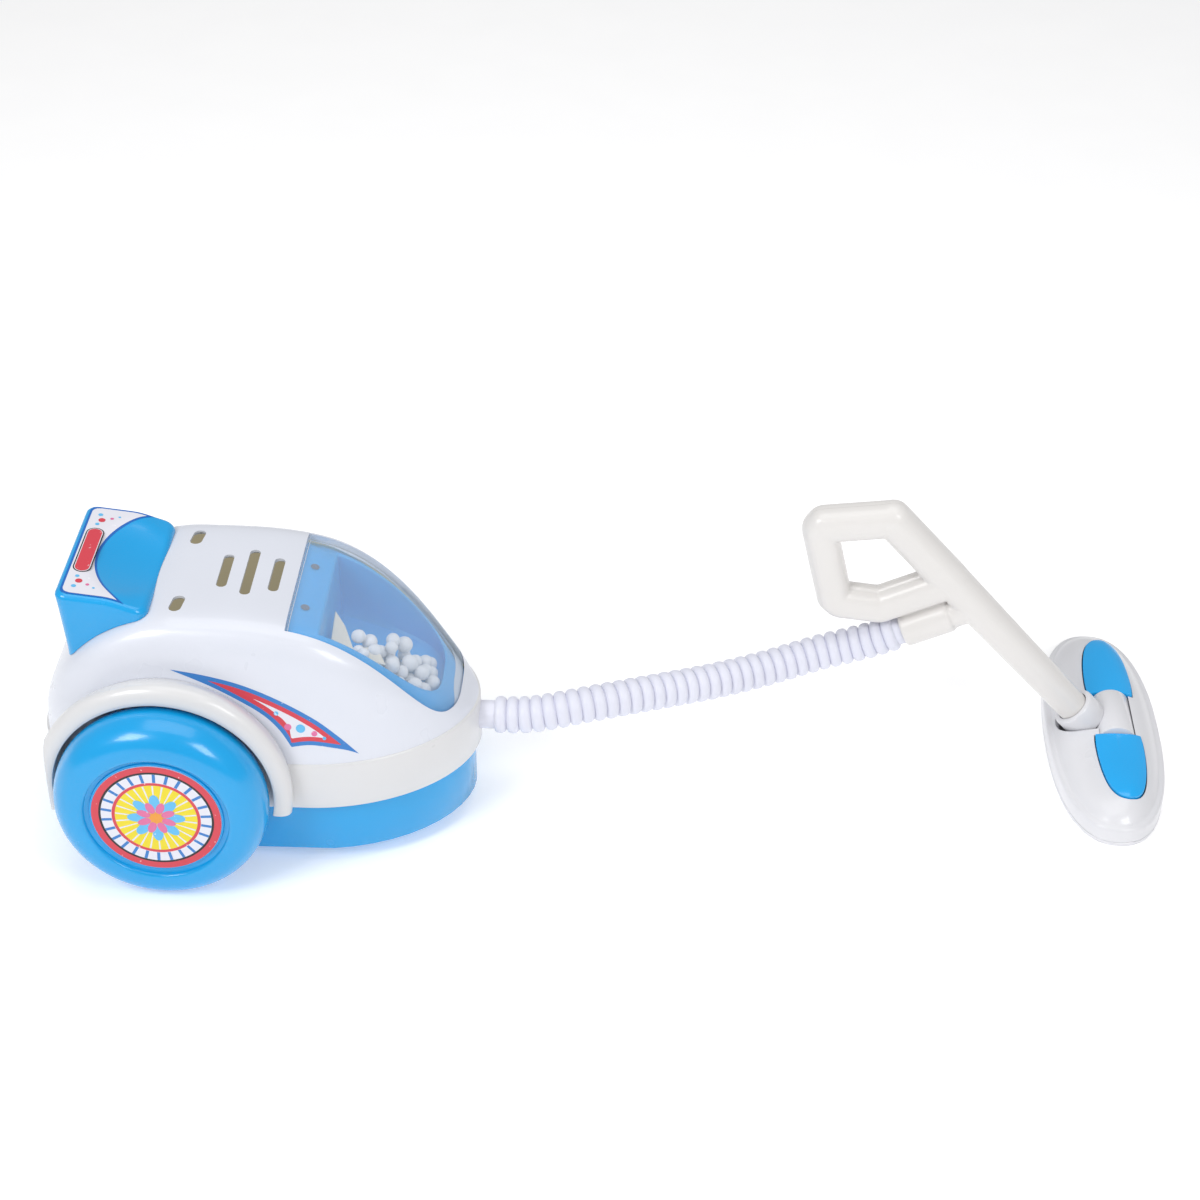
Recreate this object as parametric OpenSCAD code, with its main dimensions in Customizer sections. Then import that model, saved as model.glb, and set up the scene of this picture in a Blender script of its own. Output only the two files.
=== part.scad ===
// Toy vacuum cleaner: a wheeled canister with a bead window, a ribbed hose and a wand with a floor nozzle.
// Canister shapes are drawn with x and y measured from the middle of the rear axle, and z from the floor.

/* [Canister] */
// Width of the skirt band
body_w = 81.4; // [76:0.2:90]
// Rear axle to the tip of the nose
body_front = 97.5; // [90:0.5:110]
// Rear axle to the back of the body
body_rear = 43.5; // [40:0.5:50]
// Length of the rounded nose in plan
nose_l = 52.5; // [45:0.5:60]
// Radius of the rear corners in plan
rear_r = 26; // [18:0.5:32]
// Floor to the chassis
chassis_z = 5.7; // [4.5:0.1:8]
// Chassis side set in from the skirt
chassis_inset = 2.2; // [2.1:0.1:4]
// Wall of the chassis
chassis_wall = 1.8; // [1.4:0.1:2.4]
// Floor to the underside of the skirt
skirt_z = 24.5; // [20:0.5:28]
// Floor to the top of the skirt
skirt_top_z = 42; // [40:0.5:48]
// Wall of the skirt
skirt_wall = 1.8; // [1.4:0.1:2.0]
// Floor to the crown of the upper shell
shell_top_z = 88.7; // [84:0.1:96]
// Wall of the upper shell and of the window
shell_wall = 1.8; // [1.4:0.1:2.4]
// Ledge between the skirt and the shell
shell_ledge = 0.7; // [0.4:0.1:1]

/* [Wheels] */
// Radius of a rear wheel
wheel_r = 34.2; // [30:0.1:35]
// Middle of the body to the inner side of a wheel
wheel_in = 42.5; // [42:0.1:46]
// Middle of the body to the outer face of a wheel
wheel_face = 60.5; // [56:0.5:68]
// Radius of the printed wheel disc
label_r = 20.6; // [18:0.1:24]
// Thickness of a printed label
label_t = 0.3; // [0.2:0.05:0.5]
// Radius of the steel rear axle
axle_r = 2; // [1.5:0.1:2.5]
// Radius of the front roller
roller_r = 6.5; // [6.2:0.1:8]
// Width of the front roller
roller_w = 14; // [10:0.5:16]
// Tip of the nose back to the front roller
roller_back = 15.5; // [13.5:0.5:17.5]
// Radius of the roller pin
pin_r = 1.5; // [1.2:0.1:2]

/* [Window] */
// Rear axle to the rear edge of the window
window_x = 40; // [38:0.5:44]
// Length of the window in plan
window_l = 51.2; // [46:0.2:52]
// Width of the window in plan
window_w = 54.4; // [48:0.2:56]
// Floor of the bead tray at its rear
tray_rear_z = 60; // [56:0.5:64]
// Floor of the bead tray at its front
tray_front_z = 44; // [43:0.5:47]
// Diameter of a foam bead
bead_d = 4.4; // [3.6:0.1:5]

/* [Grip] */
// Rear axle back to the rear face of the grip block
grip_rear = 33; // [31:0.5:36]
// Rear axle back to the front edge of the grip block
grip_front = 4; // [3:0.5:6]
// Rise of the deck's rear edge over the shell's crown
grip_rise = 7.3; // [5:0.1:11]
// Fall of the deck over its length
grip_fall = 2.6; // [1:0.1:4]
// Length of the deck
grip_deck_l = 21; // [18:0.5:24]
// Width of the grip block
grip_w = 53; // [48:0.5:58]
// Radius of the finger scoop in plan
scoop_r = 30.5; // [26:0.5:34]

/* [Hose] */
// Diameter over the ribs
hose_d = 12.4; // [10:0.1:14]
// Diameter between the ribs and of the plain cuffs
hose_root_d = 9.5; // [9:0.1:9.8]
// Diameter of the bore
hose_bore_d = 7; // [6:0.1:8]
// Floor to the hose outlet in the nose
outlet_z = 33.5; // [32:0.5:35]

/* [Wand] */
// Rear axle to the middle of the nozzle
nozzle_x = 309; // [300:1:330]
// Side step from the canister's middle to the wand
wand_y = 36.5; // [36:0.5:37]
// Slope of the wand
wand_tilt = 48.35; // [44:0.05:52]
// Collar to the top corner of the handle
wand_l = 100.4; // [98:0.1:104]
// Diameter of the wand at its foot
wand_foot_d = 10.7; // [9.5:0.1:11.5]
// Diameter of the wand at the handle
wand_top_d = 12.6; // [11.5:0.1:14]
// Diameter of the handle bars
bar_d = 11.8; // [10:0.1:13]
// Length of the handle's top bar
bar_top_l = 23.4; // [21:0.1:26]
// Length of the handle's rear bar
bar_rear_l = 30.4; // [28:0.1:33]
// Length of the handle's bottom bar
bar_bottom_l = 14.6; // [13:0.1:16]
// Outer diameter of the hose socket
socket_d = 12.4; // [11.8:0.1:14]
// Length of the hose socket
socket_l = 17.2; // [15:0.1:20]

/* [Nozzle] */
// Length of the nozzle, across the floor
nozzle_l = 108; // [96:1:116]
// Width of the nozzle
nozzle_w = 39; // [36:0.5:44]
// Floor to the top of the nozzle cover
nozzle_h = 14; // [13:0.1:17]
// Height of the nozzle's upright rim
rim_h = 7; // [6:0.1:8]
// Wall of the nozzle cover
cover_wall = 1.6; // [1.2:0.1:2]
// Thickness of the sole plate
sole_t = 1.6; // [1.2:0.1:2]
// Radius of the pivot barrel
barrel_r = 6.8; // [6:0.1:7.5]
// Length of the pivot barrel
barrel_l = 22; // [20:0.5:24]
// Outer diameter of the wand collar
collar_d = 15; // [14:0.1:17]

/* [Clearances] */
// Gap between pieces that seat on each other
seat_gap = 0.3; // [0.2:0.05:0.4]
// Radial gap of a turning shaft in its bore
run_gap = 0.05; // [0.02:0.01:0.08]

/* [Hidden] */
$fn = 48;
// Spare length of every cut
overrun = 1;
// Thickness of the slices that a hull joins
slice_t = 0.01;

// The part's origin is on the floor under the middle of the whole object without its hose
origin_x = (nozzle_x + nozzle_w / 2 - body_rear) / 2;
origin_y = (wand_y + nozzle_l / 2 - wheel_face) / 2;
axle_z = wheel_r;
nose_start = body_front - nose_l;
rear_start = rear_r - body_rear;
nose_power = 1.9;
plan_steps = 12;

// Upper shell: the crown is a little ahead of the axle, the sides draw in and the corners are boxy
crown_share = 0.047;
crown_x = body_front * crown_share;
shell_h = shell_top_z - skirt_top_z;
side_taper_share = 0.18;
rear_fall_share = 0.55;
front_power = 3.4;
front_fall_share = 1.33;
corner_power = 9.5;
nose_corner_power = 5.3;
shell_steps = 11;
end_angle = 88;
section_steps = 20;

// Chassis, skirt shelf and fenders
shelf_drop = 0.2;
shelf_z = axle_z - shelf_drop;
shelf_t = skirt_wall;
shelf_inset = 6;
notch_gap = 1;
web_in = 30;
web_t = 3.5;
web_half = 6;
web_over = 6;
fender_in_r = wheel_r + skirt_wall;
fender_lip = 1.5;
fender_rise = 5;
fender_cover = 5.2;
fender_round = 3.7;
fender_depth = 8.5;
fender_flange = 5.5;
fender_ridge = 4;
fender_fall = 1;
fender_t = 1.2;
fender_rear_t = 1;
fender_out = wheel_in + fender_cover;
fender_crest = fender_out - fender_round;
fender_root = wheel_in - fender_depth;
fender_drop_angle = 12;
fender_steps = 14;

// Battery bay and its door, across the body just ahead of the axle
cell_d = 14.3;
cell_margin = 15.95;
cell_l = body_w - 2 * cell_margin;
button_d = 5.5;
button_l = 1;
cell_gap = 1.7;
cell_pitch = cell_d + cell_gap;
bay_x = 25;
bay_spare = 5.25;
bay_half = cell_l / 2 + bay_spare;
bay_wall = 1.5;
contact_t = 0.4;
spring_d = 8;
spring_wire = 0.8;
door_margin = 2;
door_l = 2 * cell_pitch + door_margin;
door_half = bay_half - door_margin;
cell_z = chassis_z + chassis_wall + seat_gap + cell_d / 2;
cell_start = bay_half - contact_t - button_l - cell_l;

// Screws, posts and bosses
screw_r = 1.4;
screw_head_r = 2.8;
screw_head_t = 1.6;
post_r = 3.6;
boss_r = 3;
rear_post = [-20, 24];
post_ahead = 2;
post_in = 9.7;
front_post = [nose_start + post_ahead, body_w / 2 - post_in];
boss_drop = 1;
boss_z = shelf_z - boss_drop;
front_boss_top_z = skirt_top_z + shell_h / 2;
screw_reach = 12;
door_screw_l = 5;
door_screw_x = bay_x + door_l / 2 + post_r;

// Motor and fan under the bead tray
motor_ahead = 14;
motor_x = nose_start + motor_ahead;
motor_r = 10;
motor_h = 23;
motor_seat_h = 2;
motor_seat_z = chassis_z + chassis_wall + motor_seat_h;
motor_cup_wall = 1.6;
motor_cup_h = 8;
shaft_r = 1;
shaft_in = 6;
fan_r = 15;
fan_hub_r = 3.5;
fan_h = 4;
fan_blade_t = 1;
fan_blades = 6;
fan_gap = 1.2;
motor_top_z = motor_seat_z + motor_h;
fan_z = motor_top_z + fan_gap;

// Slide switch in the chassis floor, behind the axle
switch_x = -24;
switch_l = 14;
switch_w = 8;
switch_h = 6;
knob_l = 5;
knob_w = 5;
knob_travel = 4;
knob_drop = 1.5;
knob_flange = 1.2;
knob_flange_t = 1.2;

// Window, tray and air holes
window_power = 3.5;
window_steps = 9;
flange_out = 3;
flange_in = 3.4;
tray_ledge = 9.6;
flange_t = 1.3;
tray_wall = 1.3;
air_hole_r = 0.9;
air_hole_x = 4.5;
air_hole_y = 8;
bead_gap = 0.12;
bead_layer_share = 0.95;
bead_start_share = 0.38;
tray_slope = atan((tray_rear_z - tray_front_z) / window_l);

// Vents and catch holes in the crown
vent_w = 3.4;
vents = [[16.5, 9.2], [24.5, 12.7], [33, 9.3]];
catch_x = 4.3;
catch_y = 18.9;
catch_r = 1.75;
catch_half = 1.6;
catch_lean = 0.6;

// Grip block
grip_top_z = shell_top_z + grip_rise;
grip_draw = 2;
grip_skirt = 26;
grip_nose_drop = 6;
grip_edge = 2.5;
grip_slope = atan(grip_fall / (grip_deck_l - grip_edge / 2));
scoop_depth = 6;
scoop_x = 6.8;
grip_label_inset = 2.2;
grip_y_shares = [-1, -0.99, -0.96, -0.88, -0.6, 0.6, 0.88, 0.96, 0.99, 1];
grip_drop_shares = [1, 0.6, 0.3, 0, 0, 0, 0, 0.3, 0.6, 1];

// Wheel profile: hub, spokeless dish and round tread
hub_r = 5;
dish_t = 2.6;
label_margin = 2.1;
recess_r = label_r + label_margin;
recess_depth = 1.6;
axle_grip = 9;
tread_shares = [[0.9, 0], [0.965, 0.13], [0.995, 0.3], [1, 0.42], [0.99, 0.58], [0.95, 0.78],
    [0.88, 0.92], [0.8, 0.985], [0.74, 1], [0.69, 0.995]];

// Front roller and its ears
roller_x = body_front - roller_back;
ear_t = 2.4;
ear_half = 4;
ear_rise = 4.5;
ear_drop = 3.2;

// Wand frame: x from the pivot barrel's axis, y from the wand's middle plane, z from the floor
barrel_x = 4.3;
barrel_gap = 0.5;
barrel_z = sole_t + barrel_r + barrel_gap;
collar_x = -14.7;
collar_z = 16.2;
collar_l = 9;
wand_in = 6;
pivot_r = 2;
pivot_l = 3.5;
pivot_post_t = 3;
top_slope = 6.6;
rear_slope = 76.9;
bottom_slope = 6.7;
link_slope = 24.7;
socket_drop = 12.8;
socket_back = 4.9;
socket_depth = 8;
socket_neck_share = 0.86;
socket_neck_l = 8;
socket_web_d = 3;
bar_sides = 16;
tube_sides = 24;
corner_cut = 6;
neck_r = 4.5;
wand_dir = [-cos(wand_tilt), 0, sin(wand_tilt)];
collar_c = [collar_x, 0, collar_z];
collar_foot = collar_c - collar_l * wand_dir;
barrel_c = [0, 0, barrel_z];
neck_angle = atan2(collar_foot.x, collar_foot.z - barrel_z);
handle_tr = collar_c + wand_l * wand_dir;
handle_tl = handle_tr + bar_top_l * [-cos(top_slope), 0, -sin(top_slope)];
handle_bl = handle_tl + bar_rear_l * [cos(rear_slope), 0, -sin(rear_slope)];
handle_b = handle_bl + bar_bottom_l * [cos(bottom_slope), 0, -sin(bottom_slope)];
link_dir = [cos(link_slope), 0, sin(link_slope)];
link_l = cross2(handle_tr - handle_b, wand_dir) / cross2(link_dir, wand_dir);
handle_j = handle_b + link_l * link_dir;
socket_normal = [sin(link_slope), 0, -cos(link_slope)];
socket_end = handle_j + socket_drop * socket_normal - socket_back * link_dir;
socket_mouth = socket_end - socket_l * link_dir;

// Nozzle cover rings as shares of its width, length and height, and its blue inserts
cover_z_shares = [0, 0.44, 0.56, 0.78, 0.94, 1];
cover_inset_shares = [0, 0, 0.17, 0.33, 0.56, 0.84];
cover_shift_shares = [0, 0, 0.1, 0.45, 0.8, 1];
nozzle_power = 2.4;
nozzle_sides = 36;
slot_left = 20;
slot_gap = 0.4;
insert_rise = 0.6;
insert_margin = 0.6;
insert_start = barrel_l / 2 + insert_margin;
insert_end = 44.9;
insert_width_shares = [0.95, 1, 1, 0.97, 0.9, 0.8, 0.66, 0.46, 0.16];
insert_half = 8;
insert_depth = 2.4;
nozzle_screw_y = 26;
nozzle_screw_x = -9;
nozzle_screw_r = 1;
nozzle_screw_l = 6;
nozzle_boss_r = 2.4;

// Hose: cuffs, rib count and the route of its centre line, from the nose to the wand's socket
rib_count = 35;
hose_sides = 8;
cuff_in_l = 6.2;
cuff_out_l = 9.4;
hose_route = [[-46.7, -15, 33.5], [-40, -15, 33.5], [-33.5, -15, 33.5], [-27, -14.7, 34], [-20, -13.8, 35],
    [-12, -11.9, 35.8], [-2, -8.6, 36], [9, -4, 35.5], [20, 1, 34.6], [31, 6, 33.9], [42, 11, 33.7],
    [52, 15, 34.4], [61, 18.2, 35.7], [69, 20.2, 37.4], [77, 21.3, 39.3], [84.5, 21.5, 41.8],
    [90, 21.5, 44.2], [96, 21.5, 47], [102, 21.5, 49.7]];

function clamp01(t) = min(max(t, 0), 1);
function smooth(t) = let (c = clamp01(t)) c * c * (3 - 2 * c);
function cross2(a, b) = a.x * b.z - a.z * b.x;
function sum(v, i = 0) = i < len(v) ? v[i] + sum(v, i + 1) : 0;

// Half width of the body in plan at x, drawn in by d
function plan_half(x, d) = x > nose_start
    ? (body_w / 2 - d) * pow(1 - pow(clamp01((x - nose_start) / (nose_l - d)), nose_power), 1 / nose_power)
    : body_w / 2 - d - (rear_r - d) * (1 - sqrt(1 - pow(clamp01((rear_start - x) / (rear_r - d)), 2)));

// Outline of the body in plan, drawn in by d
function plan_stations(d) = concat(
    [for (i = [0:plan_steps]) rear_start - (rear_r - d) * cos(90 * i / plan_steps)],
    [for (i = [1:plan_steps]) nose_start + (nose_l - d) * sin(90 * i / plan_steps)]);
function plan_points(d) = let (xs = plan_stations(d), n = len(xs)) concat(
    [for (i = [0:n - 1]) [xs[i], -plan_half(xs[i], d)]],
    [for (i = [n - 2:-1:0]) [xs[i], plan_half(xs[i], d)]]);

// Upper shell drawn in by d: its top line, the boxiness of its section, and a point at an angle round it
function shell_reach(d) = body_front - shell_ledge - d - crown_x;
function shell_back(d) = body_rear - shell_ledge - d + crown_x;
function shell_line(x, d) = skirt_top_z + (shell_h - d) * (x > crown_x
    ? pow(1 - pow(clamp01((x - crown_x) / shell_reach(d)), front_power), front_fall_share)
    : pow(1 - pow(clamp01((crown_x - x) / shell_back(d)), 2), rear_fall_share));
function shell_power(x) = corner_power
    - (corner_power - nose_corner_power) * smooth((x - nose_start) / nose_l);
function shell_point(x, a, d) = let (
    p = 2 / shell_power(x),
    c = sign(cos(a)) * pow(abs(cos(a)), p),
    s = pow(max(sin(a), 0), p),
    w = plan_half(x, shell_ledge + d))
    [x, w * (1 - side_taper_share * s) * c, skirt_top_z + (shell_line(x, d) - skirt_top_z) * s];
function shell_stations(d) = concat(
    [for (i = [shell_steps:-1:1]) crown_x - shell_back(d) * sin(end_angle * i / shell_steps)],
    [for (i = [0:shell_steps]) crown_x + shell_reach(d) * sin(end_angle * i / shell_steps)]);
function shell_ring(x, d, base_z) = [for (i = [0:section_steps])
    let (q = shell_point(x, 180 * i / section_steps, d))
    i == 0 || i == section_steps ? [q.x, q.y, base_z] : q];

// Angle round the shell's section where it is y from the middle
function shell_angle(x, y, low, high, n) = n == 0 ? (low + high) / 2 :
    let (mid = (low + high) / 2)
    shell_point(x, mid, 0).y > y ? shell_angle(x, y, mid, high, n - 1) : shell_angle(x, y, low, mid, n - 1);

// Window outline in plan, grown by d
function window_half(x, d) = (window_w / 2 + d)
    * pow(1 - pow(clamp01((x - window_x) / (window_l + d)), window_power), 1 / window_power);
function window_stations(d) = [for (i = [0:window_steps]) window_x - d
    + (window_l + 2 * d) * sin(90 * i / window_steps)];
function window_points(d) = let (xs = window_stations(d), n = len(xs)) concat(
    [for (i = [0:n - 1]) [xs[i], -window_half(xs[i], d)]],
    [for (i = [n - 2:-1:0]) [xs[i], window_half(xs[i], d)]]);

// Nozzle cover ring i drawn in by d, round the cover's own middle
function cover_ring(i, d) = let (
    inset = cover_inset_shares[i] * nozzle_w / 2 + d,
    z = sole_t + cover_z_shares[i] * (nozzle_h - sole_t) - (i > 0 ? d : overrun * sign(d)),
    shift = cover_shift_shares[i] * barrel_x)
    [for (k = [0:nozzle_sides - 1]) let (q = oval(360 * k / nozzle_sides, nozzle_w / 2 - inset,
        nozzle_l / 2 - inset)) [q.x + shift, q.y, z]];
function oval(a, rx, ry) = [rx * sign(cos(a)) * pow(abs(cos(a)), 2 / nozzle_power),
    ry * sign(sin(a)) * pow(abs(sin(a)), 2 / nozzle_power)];

// Hose: distance along the route, a point at a distance, and a ring of radius r there
route_runs = [for (i = [1:len(hose_route) - 1]) norm(hose_route[i] - hose_route[i - 1])];
route_l = sum(route_runs);
function route_at(s, i = 0) = s <= route_runs[i] || i == len(route_runs) - 1
    ? hose_route[i] + (hose_route[i + 1] - hose_route[i]) * s / route_runs[i]
    : route_at(s - route_runs[i], i + 1);
function route_dir(s) = let (h = hose_d, v = route_at(min(s + h, route_l)) - route_at(max(s - h, 0)))
    v / norm(v);
function hose_ring(s, r) = let (
    t = route_dir(s),
    side = cross([0, 0, 1], t) / norm(cross([0, 0, 1], t)),
    up = cross(t, side),
    c = route_at(s))
    [for (k = [0:hose_sides - 1]) let (a = 360 * k / hose_sides) c + r * (cos(a) * side + sin(a) * up)];

// Solid through rings of equal length, each a closed outline, with flat ends
module loft(rings) {
    n = len(rings[0]);
    m = len(rings);
    polyhedron([for (ring = rings) each ring], concat(
        [[for (k = [0:n - 1]) k]],
        [[for (k = [n - 1:-1:0]) (m - 1) * n + k]],
        [for (i = [0:m - 2]) for (k = [0:n - 1]) each let (
            a = i * n + k, b = i * n + (k + 1) % n) [[a, a + n, b], [b, a + n, b + n]]]));
}

module in_canister() translate([-origin_x, -origin_y, 0]) children();
module in_wand() translate([nozzle_x + barrel_x - origin_x, wand_y - origin_y, 0]) children();
module in_nozzle() translate([nozzle_x - origin_x, wand_y - origin_y, 0]) children();
module along_y(y = 0) translate([0, y, 0]) rotate([-90, 0, 0]) children();
module slab(low, high) translate(low) cube(high - low);

module plan_prism(d, z0, z1) translate([0, 0, z0]) linear_extrude(z1 - z0) polygon(plan_points(d));
module shell_solid(d, base_z) loft([for (x = shell_stations(d)) shell_ring(x, d, base_z)]);
module window_prism(d, z0, z1) hull() translate([0, 0, z0]) linear_extrude(z1 - z0)
    polygon(window_points(d));
module at_posts() for (p = [rear_post, front_post]) for (s = [-1, 1])
    translate([p.x, s * p.y, 0]) children();

// Lower tub: floor, bearing webs, battery bay, motor cup, roller ears and screw posts
module chassis() color("deepskyblue") in_canister() difference() {
    floor_z = chassis_z + chassis_wall;
    union() {
        difference() {
            plan_prism(chassis_inset, chassis_z, shelf_z);
            plan_prism(chassis_inset + chassis_wall, floor_z, shelf_z + overrun);
            slab([-axle_r - notch_gap, -body_w / 2, axle_z - axle_r - notch_gap],
                [axle_r + notch_gap, body_w / 2, axle_z]);
        }
        for (s = [-1, 1]) {
            slab([-web_half, s * web_in - (s < 0 ? 0 : web_t), chassis_z],
                [web_half, s * web_in + (s < 0 ? web_t : 0), axle_z + web_over]);
            translate([bay_x, s * (bay_half + bay_wall / 2), 0])
                slab([-door_l / 2, -bay_wall / 2, chassis_z],
                [door_l / 2, bay_wall / 2, cell_z + cell_d / 2]);
            translate([roller_x, s * (roller_w / 2 + seat_gap + ear_t / 2), 0])
                slab([-ear_half, -ear_t / 2, ear_drop], [ear_half, ear_t / 2, roller_r + ear_rise]);
        }
        at_posts() translate([0, 0, chassis_z]) cylinder(r = post_r, h = boss_z - chassis_z);
        translate([motor_x, 0, chassis_z]) cylinder(r = motor_r + run_gap + motor_cup_wall,
            h = motor_seat_z - chassis_z + motor_cup_h);
        translate([door_screw_x, 0, chassis_z]) cylinder(r = post_r, h = door_screw_l + post_r);
    }
    along_y(-web_in - overrun) translate([0, -axle_z, 0])
        cylinder(r = axle_r + run_gap, h = 2 * (web_in + overrun));
    along_y(-roller_w / 2 - seat_gap - ear_t - overrun) translate([roller_x, -roller_r, 0])
        cylinder(r = pin_r, h = roller_w + 2 * (seat_gap + ear_t + overrun));
    slab([roller_x - roller_r - notch_gap, -roller_w / 2 - seat_gap, 0],
        [roller_x + roller_r + notch_gap, roller_w / 2 + seat_gap, floor_z + overrun]);
    at_posts() {
        translate([0, 0, chassis_z - overrun]) cylinder(r = screw_r + seat_gap, h = boss_z);
        translate([0, 0, chassis_z - overrun])
            cylinder(r = screw_head_r + seat_gap, h = overrun + screw_head_t);
    }
    translate([motor_x, 0, motor_seat_z]) cylinder(r = motor_r + run_gap, h = motor_h);
    slab([bay_x - door_l / 2, -door_half, 0], [bay_x + door_l / 2, door_half, floor_z + overrun]);
    translate([door_screw_x, 0, 0]) {
        translate([0, 0, chassis_z - overrun])
            cylinder(r = screw_r + seat_gap, h = door_screw_l + overrun + seat_gap);
        slab([-post_r - overrun, -post_r - seat_gap, 0], [post_r + seat_gap, post_r + seat_gap, floor_z]);
    }
    slab([switch_x - knob_l / 2 - seat_gap - knob_travel / 2, -knob_w / 2 - seat_gap, 0],
        [switch_x + knob_l / 2 + seat_gap + knob_travel / 2, knob_w / 2 + seat_gap, floor_z + overrun]);
}

// Profile of a fender: round over its outer edge, from the wheel side up to the shell
function fender_profile() = [[fender_in_r, fender_root], [fender_in_r, fender_out],
    [fender_in_r + fender_lip, fender_out],
    [fender_in_r + (fender_lip + fender_rise) / 2, fender_out - fender_lip],
    [fender_in_r + fender_rise, fender_crest],
    [fender_in_r + fender_rise - fender_fall, fender_crest - fender_ridge],
    [fender_in_r + fender_t, fender_root]];
// Flange that carries the arch on to the skirt's band
function flange_profile() = [[fender_in_r, fender_root - fender_flange],
    [fender_in_r, fender_root + fender_t], [fender_in_r + fender_t, fender_root + fender_t],
    [fender_in_r + fender_t, fender_root - fender_flange]];
module fender_slice(a, profile) rotate([0, a, 0]) rotate([0, -90, 0])
    linear_extrude(slice_t) polygon(profile);
module fender() translate([0, 0, axle_z]) {
    sweep = 180 + 2 * fender_drop_angle;
    for (p = [fender_profile(), flange_profile()]) for (i = [0:fender_steps - 1]) hull() {
        fender_slice(sweep * (i / fender_steps - 0.5), p);
        fender_slice(sweep * ((i + 1) / fender_steps - 0.5), p);
    }
}
// Skirt band with its shelf and both wheel arches
module skirt() color("whitesmoke") in_canister() difference() {
    union() {
        difference() {
            plan_prism(0, skirt_z, skirt_top_z);
            plan_prism(skirt_wall, skirt_z - overrun, skirt_top_z + overrun);
        }
        difference() {
            plan_prism(skirt_wall / 2, shelf_z, shelf_z + shelf_t);
            plan_prism(shelf_inset, shelf_z - overrun, shelf_z + shelf_t + overrun);
        }
        for (s = [0, 1]) mirror([0, s, 0]) difference() {
            fender();
            plan_prism(skirt_wall / 2, 0, skirt_top_z);
            slab([-2 * fender_in_r, 0, 0], [-fender_in_r - fender_rear_t, body_w, 2 * axle_z + fender_in_r]);
        }
    }
    shell_solid(-seat_gap, skirt_top_z);
    slab([-axle_r - notch_gap, -body_w / 2 - overrun, skirt_z - overrun],
        [axle_r + notch_gap, body_w / 2 + overrun, axle_z + axle_r + notch_gap]);
    translate([body_front - shelf_inset - overrun, 0, outlet_z]) rotate([0, 90, 0])
        cylinder(d = hose_root_d + 2 * seat_gap, h = shelf_inset + 2 * overrun);
}

// Upper shell with its bosses, vents, catch holes and window opening
module upper_shell() color("white") in_canister() difference() {
    union() {
        difference() {
            shell_solid(0, skirt_top_z);
            shell_solid(shell_wall, skirt_top_z - overrun);
        }
        intersection() {
            shell_solid(shell_wall / 2, boss_z);
            for (s = [-1, 1]) {
                hull() boss(rear_post.x, s * rear_post.y, shell_top_z);
                hull() boss(front_post.x, s * front_post.y, front_boss_top_z);
                boss_web(s);
            }
        }
    }
    window_prism(seat_gap, skirt_top_z + shell_wall, shell_top_z + overrun);
    for (v = vents) hull() for (s = [-1, 1])
        translate([v.x, s * (v.y - vent_w / 2), skirt_top_z + shell_h / 2])
        cylinder(d = vent_w, h = shell_h, $fn = 16);
    for (s = [-1, 1]) hull() for (k = [-1, 1])
        translate([catch_x + k * catch_lean, s * catch_y + k * catch_half, skirt_top_z + shell_h / 2])
        cylinder(r = catch_r, h = shell_h, $fn = 16);
    at_posts() translate([0, 0, boss_z - overrun])
        cylinder(r = screw_r + seat_gap, h = screw_reach + overrun, $fn = 24);
}
// Rib that ties a front boss to the shell's side
module boss_web(s) hull() for (y = [front_post.y, body_w / 2])
    translate([front_post.x, s * y, skirt_top_z + seat_gap])
    cylinder(d = shell_wall, h = front_boss_top_z - skirt_top_z, $fn = 12);
module boss(x, y, top_z) translate([x, y, boss_z + seat_gap])
    cylinder(r = boss_r, h = top_z - boss_z, $fn = 20);

// Side view of the grip block, as [x, z] points
function grip_profile(d) = [[-grip_rear + grip_draw + d, grip_top_z - grip_skirt],
    [-grip_rear + d, grip_top_z - grip_edge],
    [-grip_rear + d + grip_edge / 2, grip_top_z - d * grip_draw],
    [-grip_rear + grip_deck_l, grip_top_z - grip_fall - d * grip_draw],
    [-grip_front - d, grip_top_z - grip_nose_drop - d], [-grip_front - d, grip_top_z - grip_skirt]];
module grip_slice(i) translate([0, grip_y_shares[i] * grip_w / 2, 0]) rotate([90, 0, 0])
    linear_extrude(slice_t, center = true) polygon(grip_profile(grip_drop_shares[i]));
module grip() color("dodgerblue") in_canister() difference() {
    for (i = [0:len(grip_y_shares) - 2]) hull() {
        grip_slice(i);
        grip_slice(i + 1);
    }
    scoop();
    shell_solid(-seat_gap, 0);
}
// Shallow bowl that the fingers reach into
module scoop() {
    bowl_r = (scoop_r * scoop_r + scoop_depth * scoop_depth) / (2 * scoop_depth);
    translate([scoop_x, 0, grip_top_z - grip_fall - scoop_depth + bowl_r]) sphere(bowl_r, $fn = 64);
}
// Printed sticker on the deck, cut round by the scoop
module grip_label() color("lavender") in_canister()
    translate([-grip_rear + grip_edge / 2, 0, grip_top_z]) rotate([0, grip_slope, 0])
    translate([0, 0, run_gap]) linear_extrude(label_t) difference() {
        translate([grip_label_inset, -grip_w / 2 + 2 * grip_label_inset])
            square([grip_deck_l - 2 * grip_label_inset, grip_w - 4 * grip_label_inset]);
        translate([grip_rear - grip_edge / 2 + scoop_x, 0]) circle(scoop_r + grip_label_inset);
    }

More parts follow.
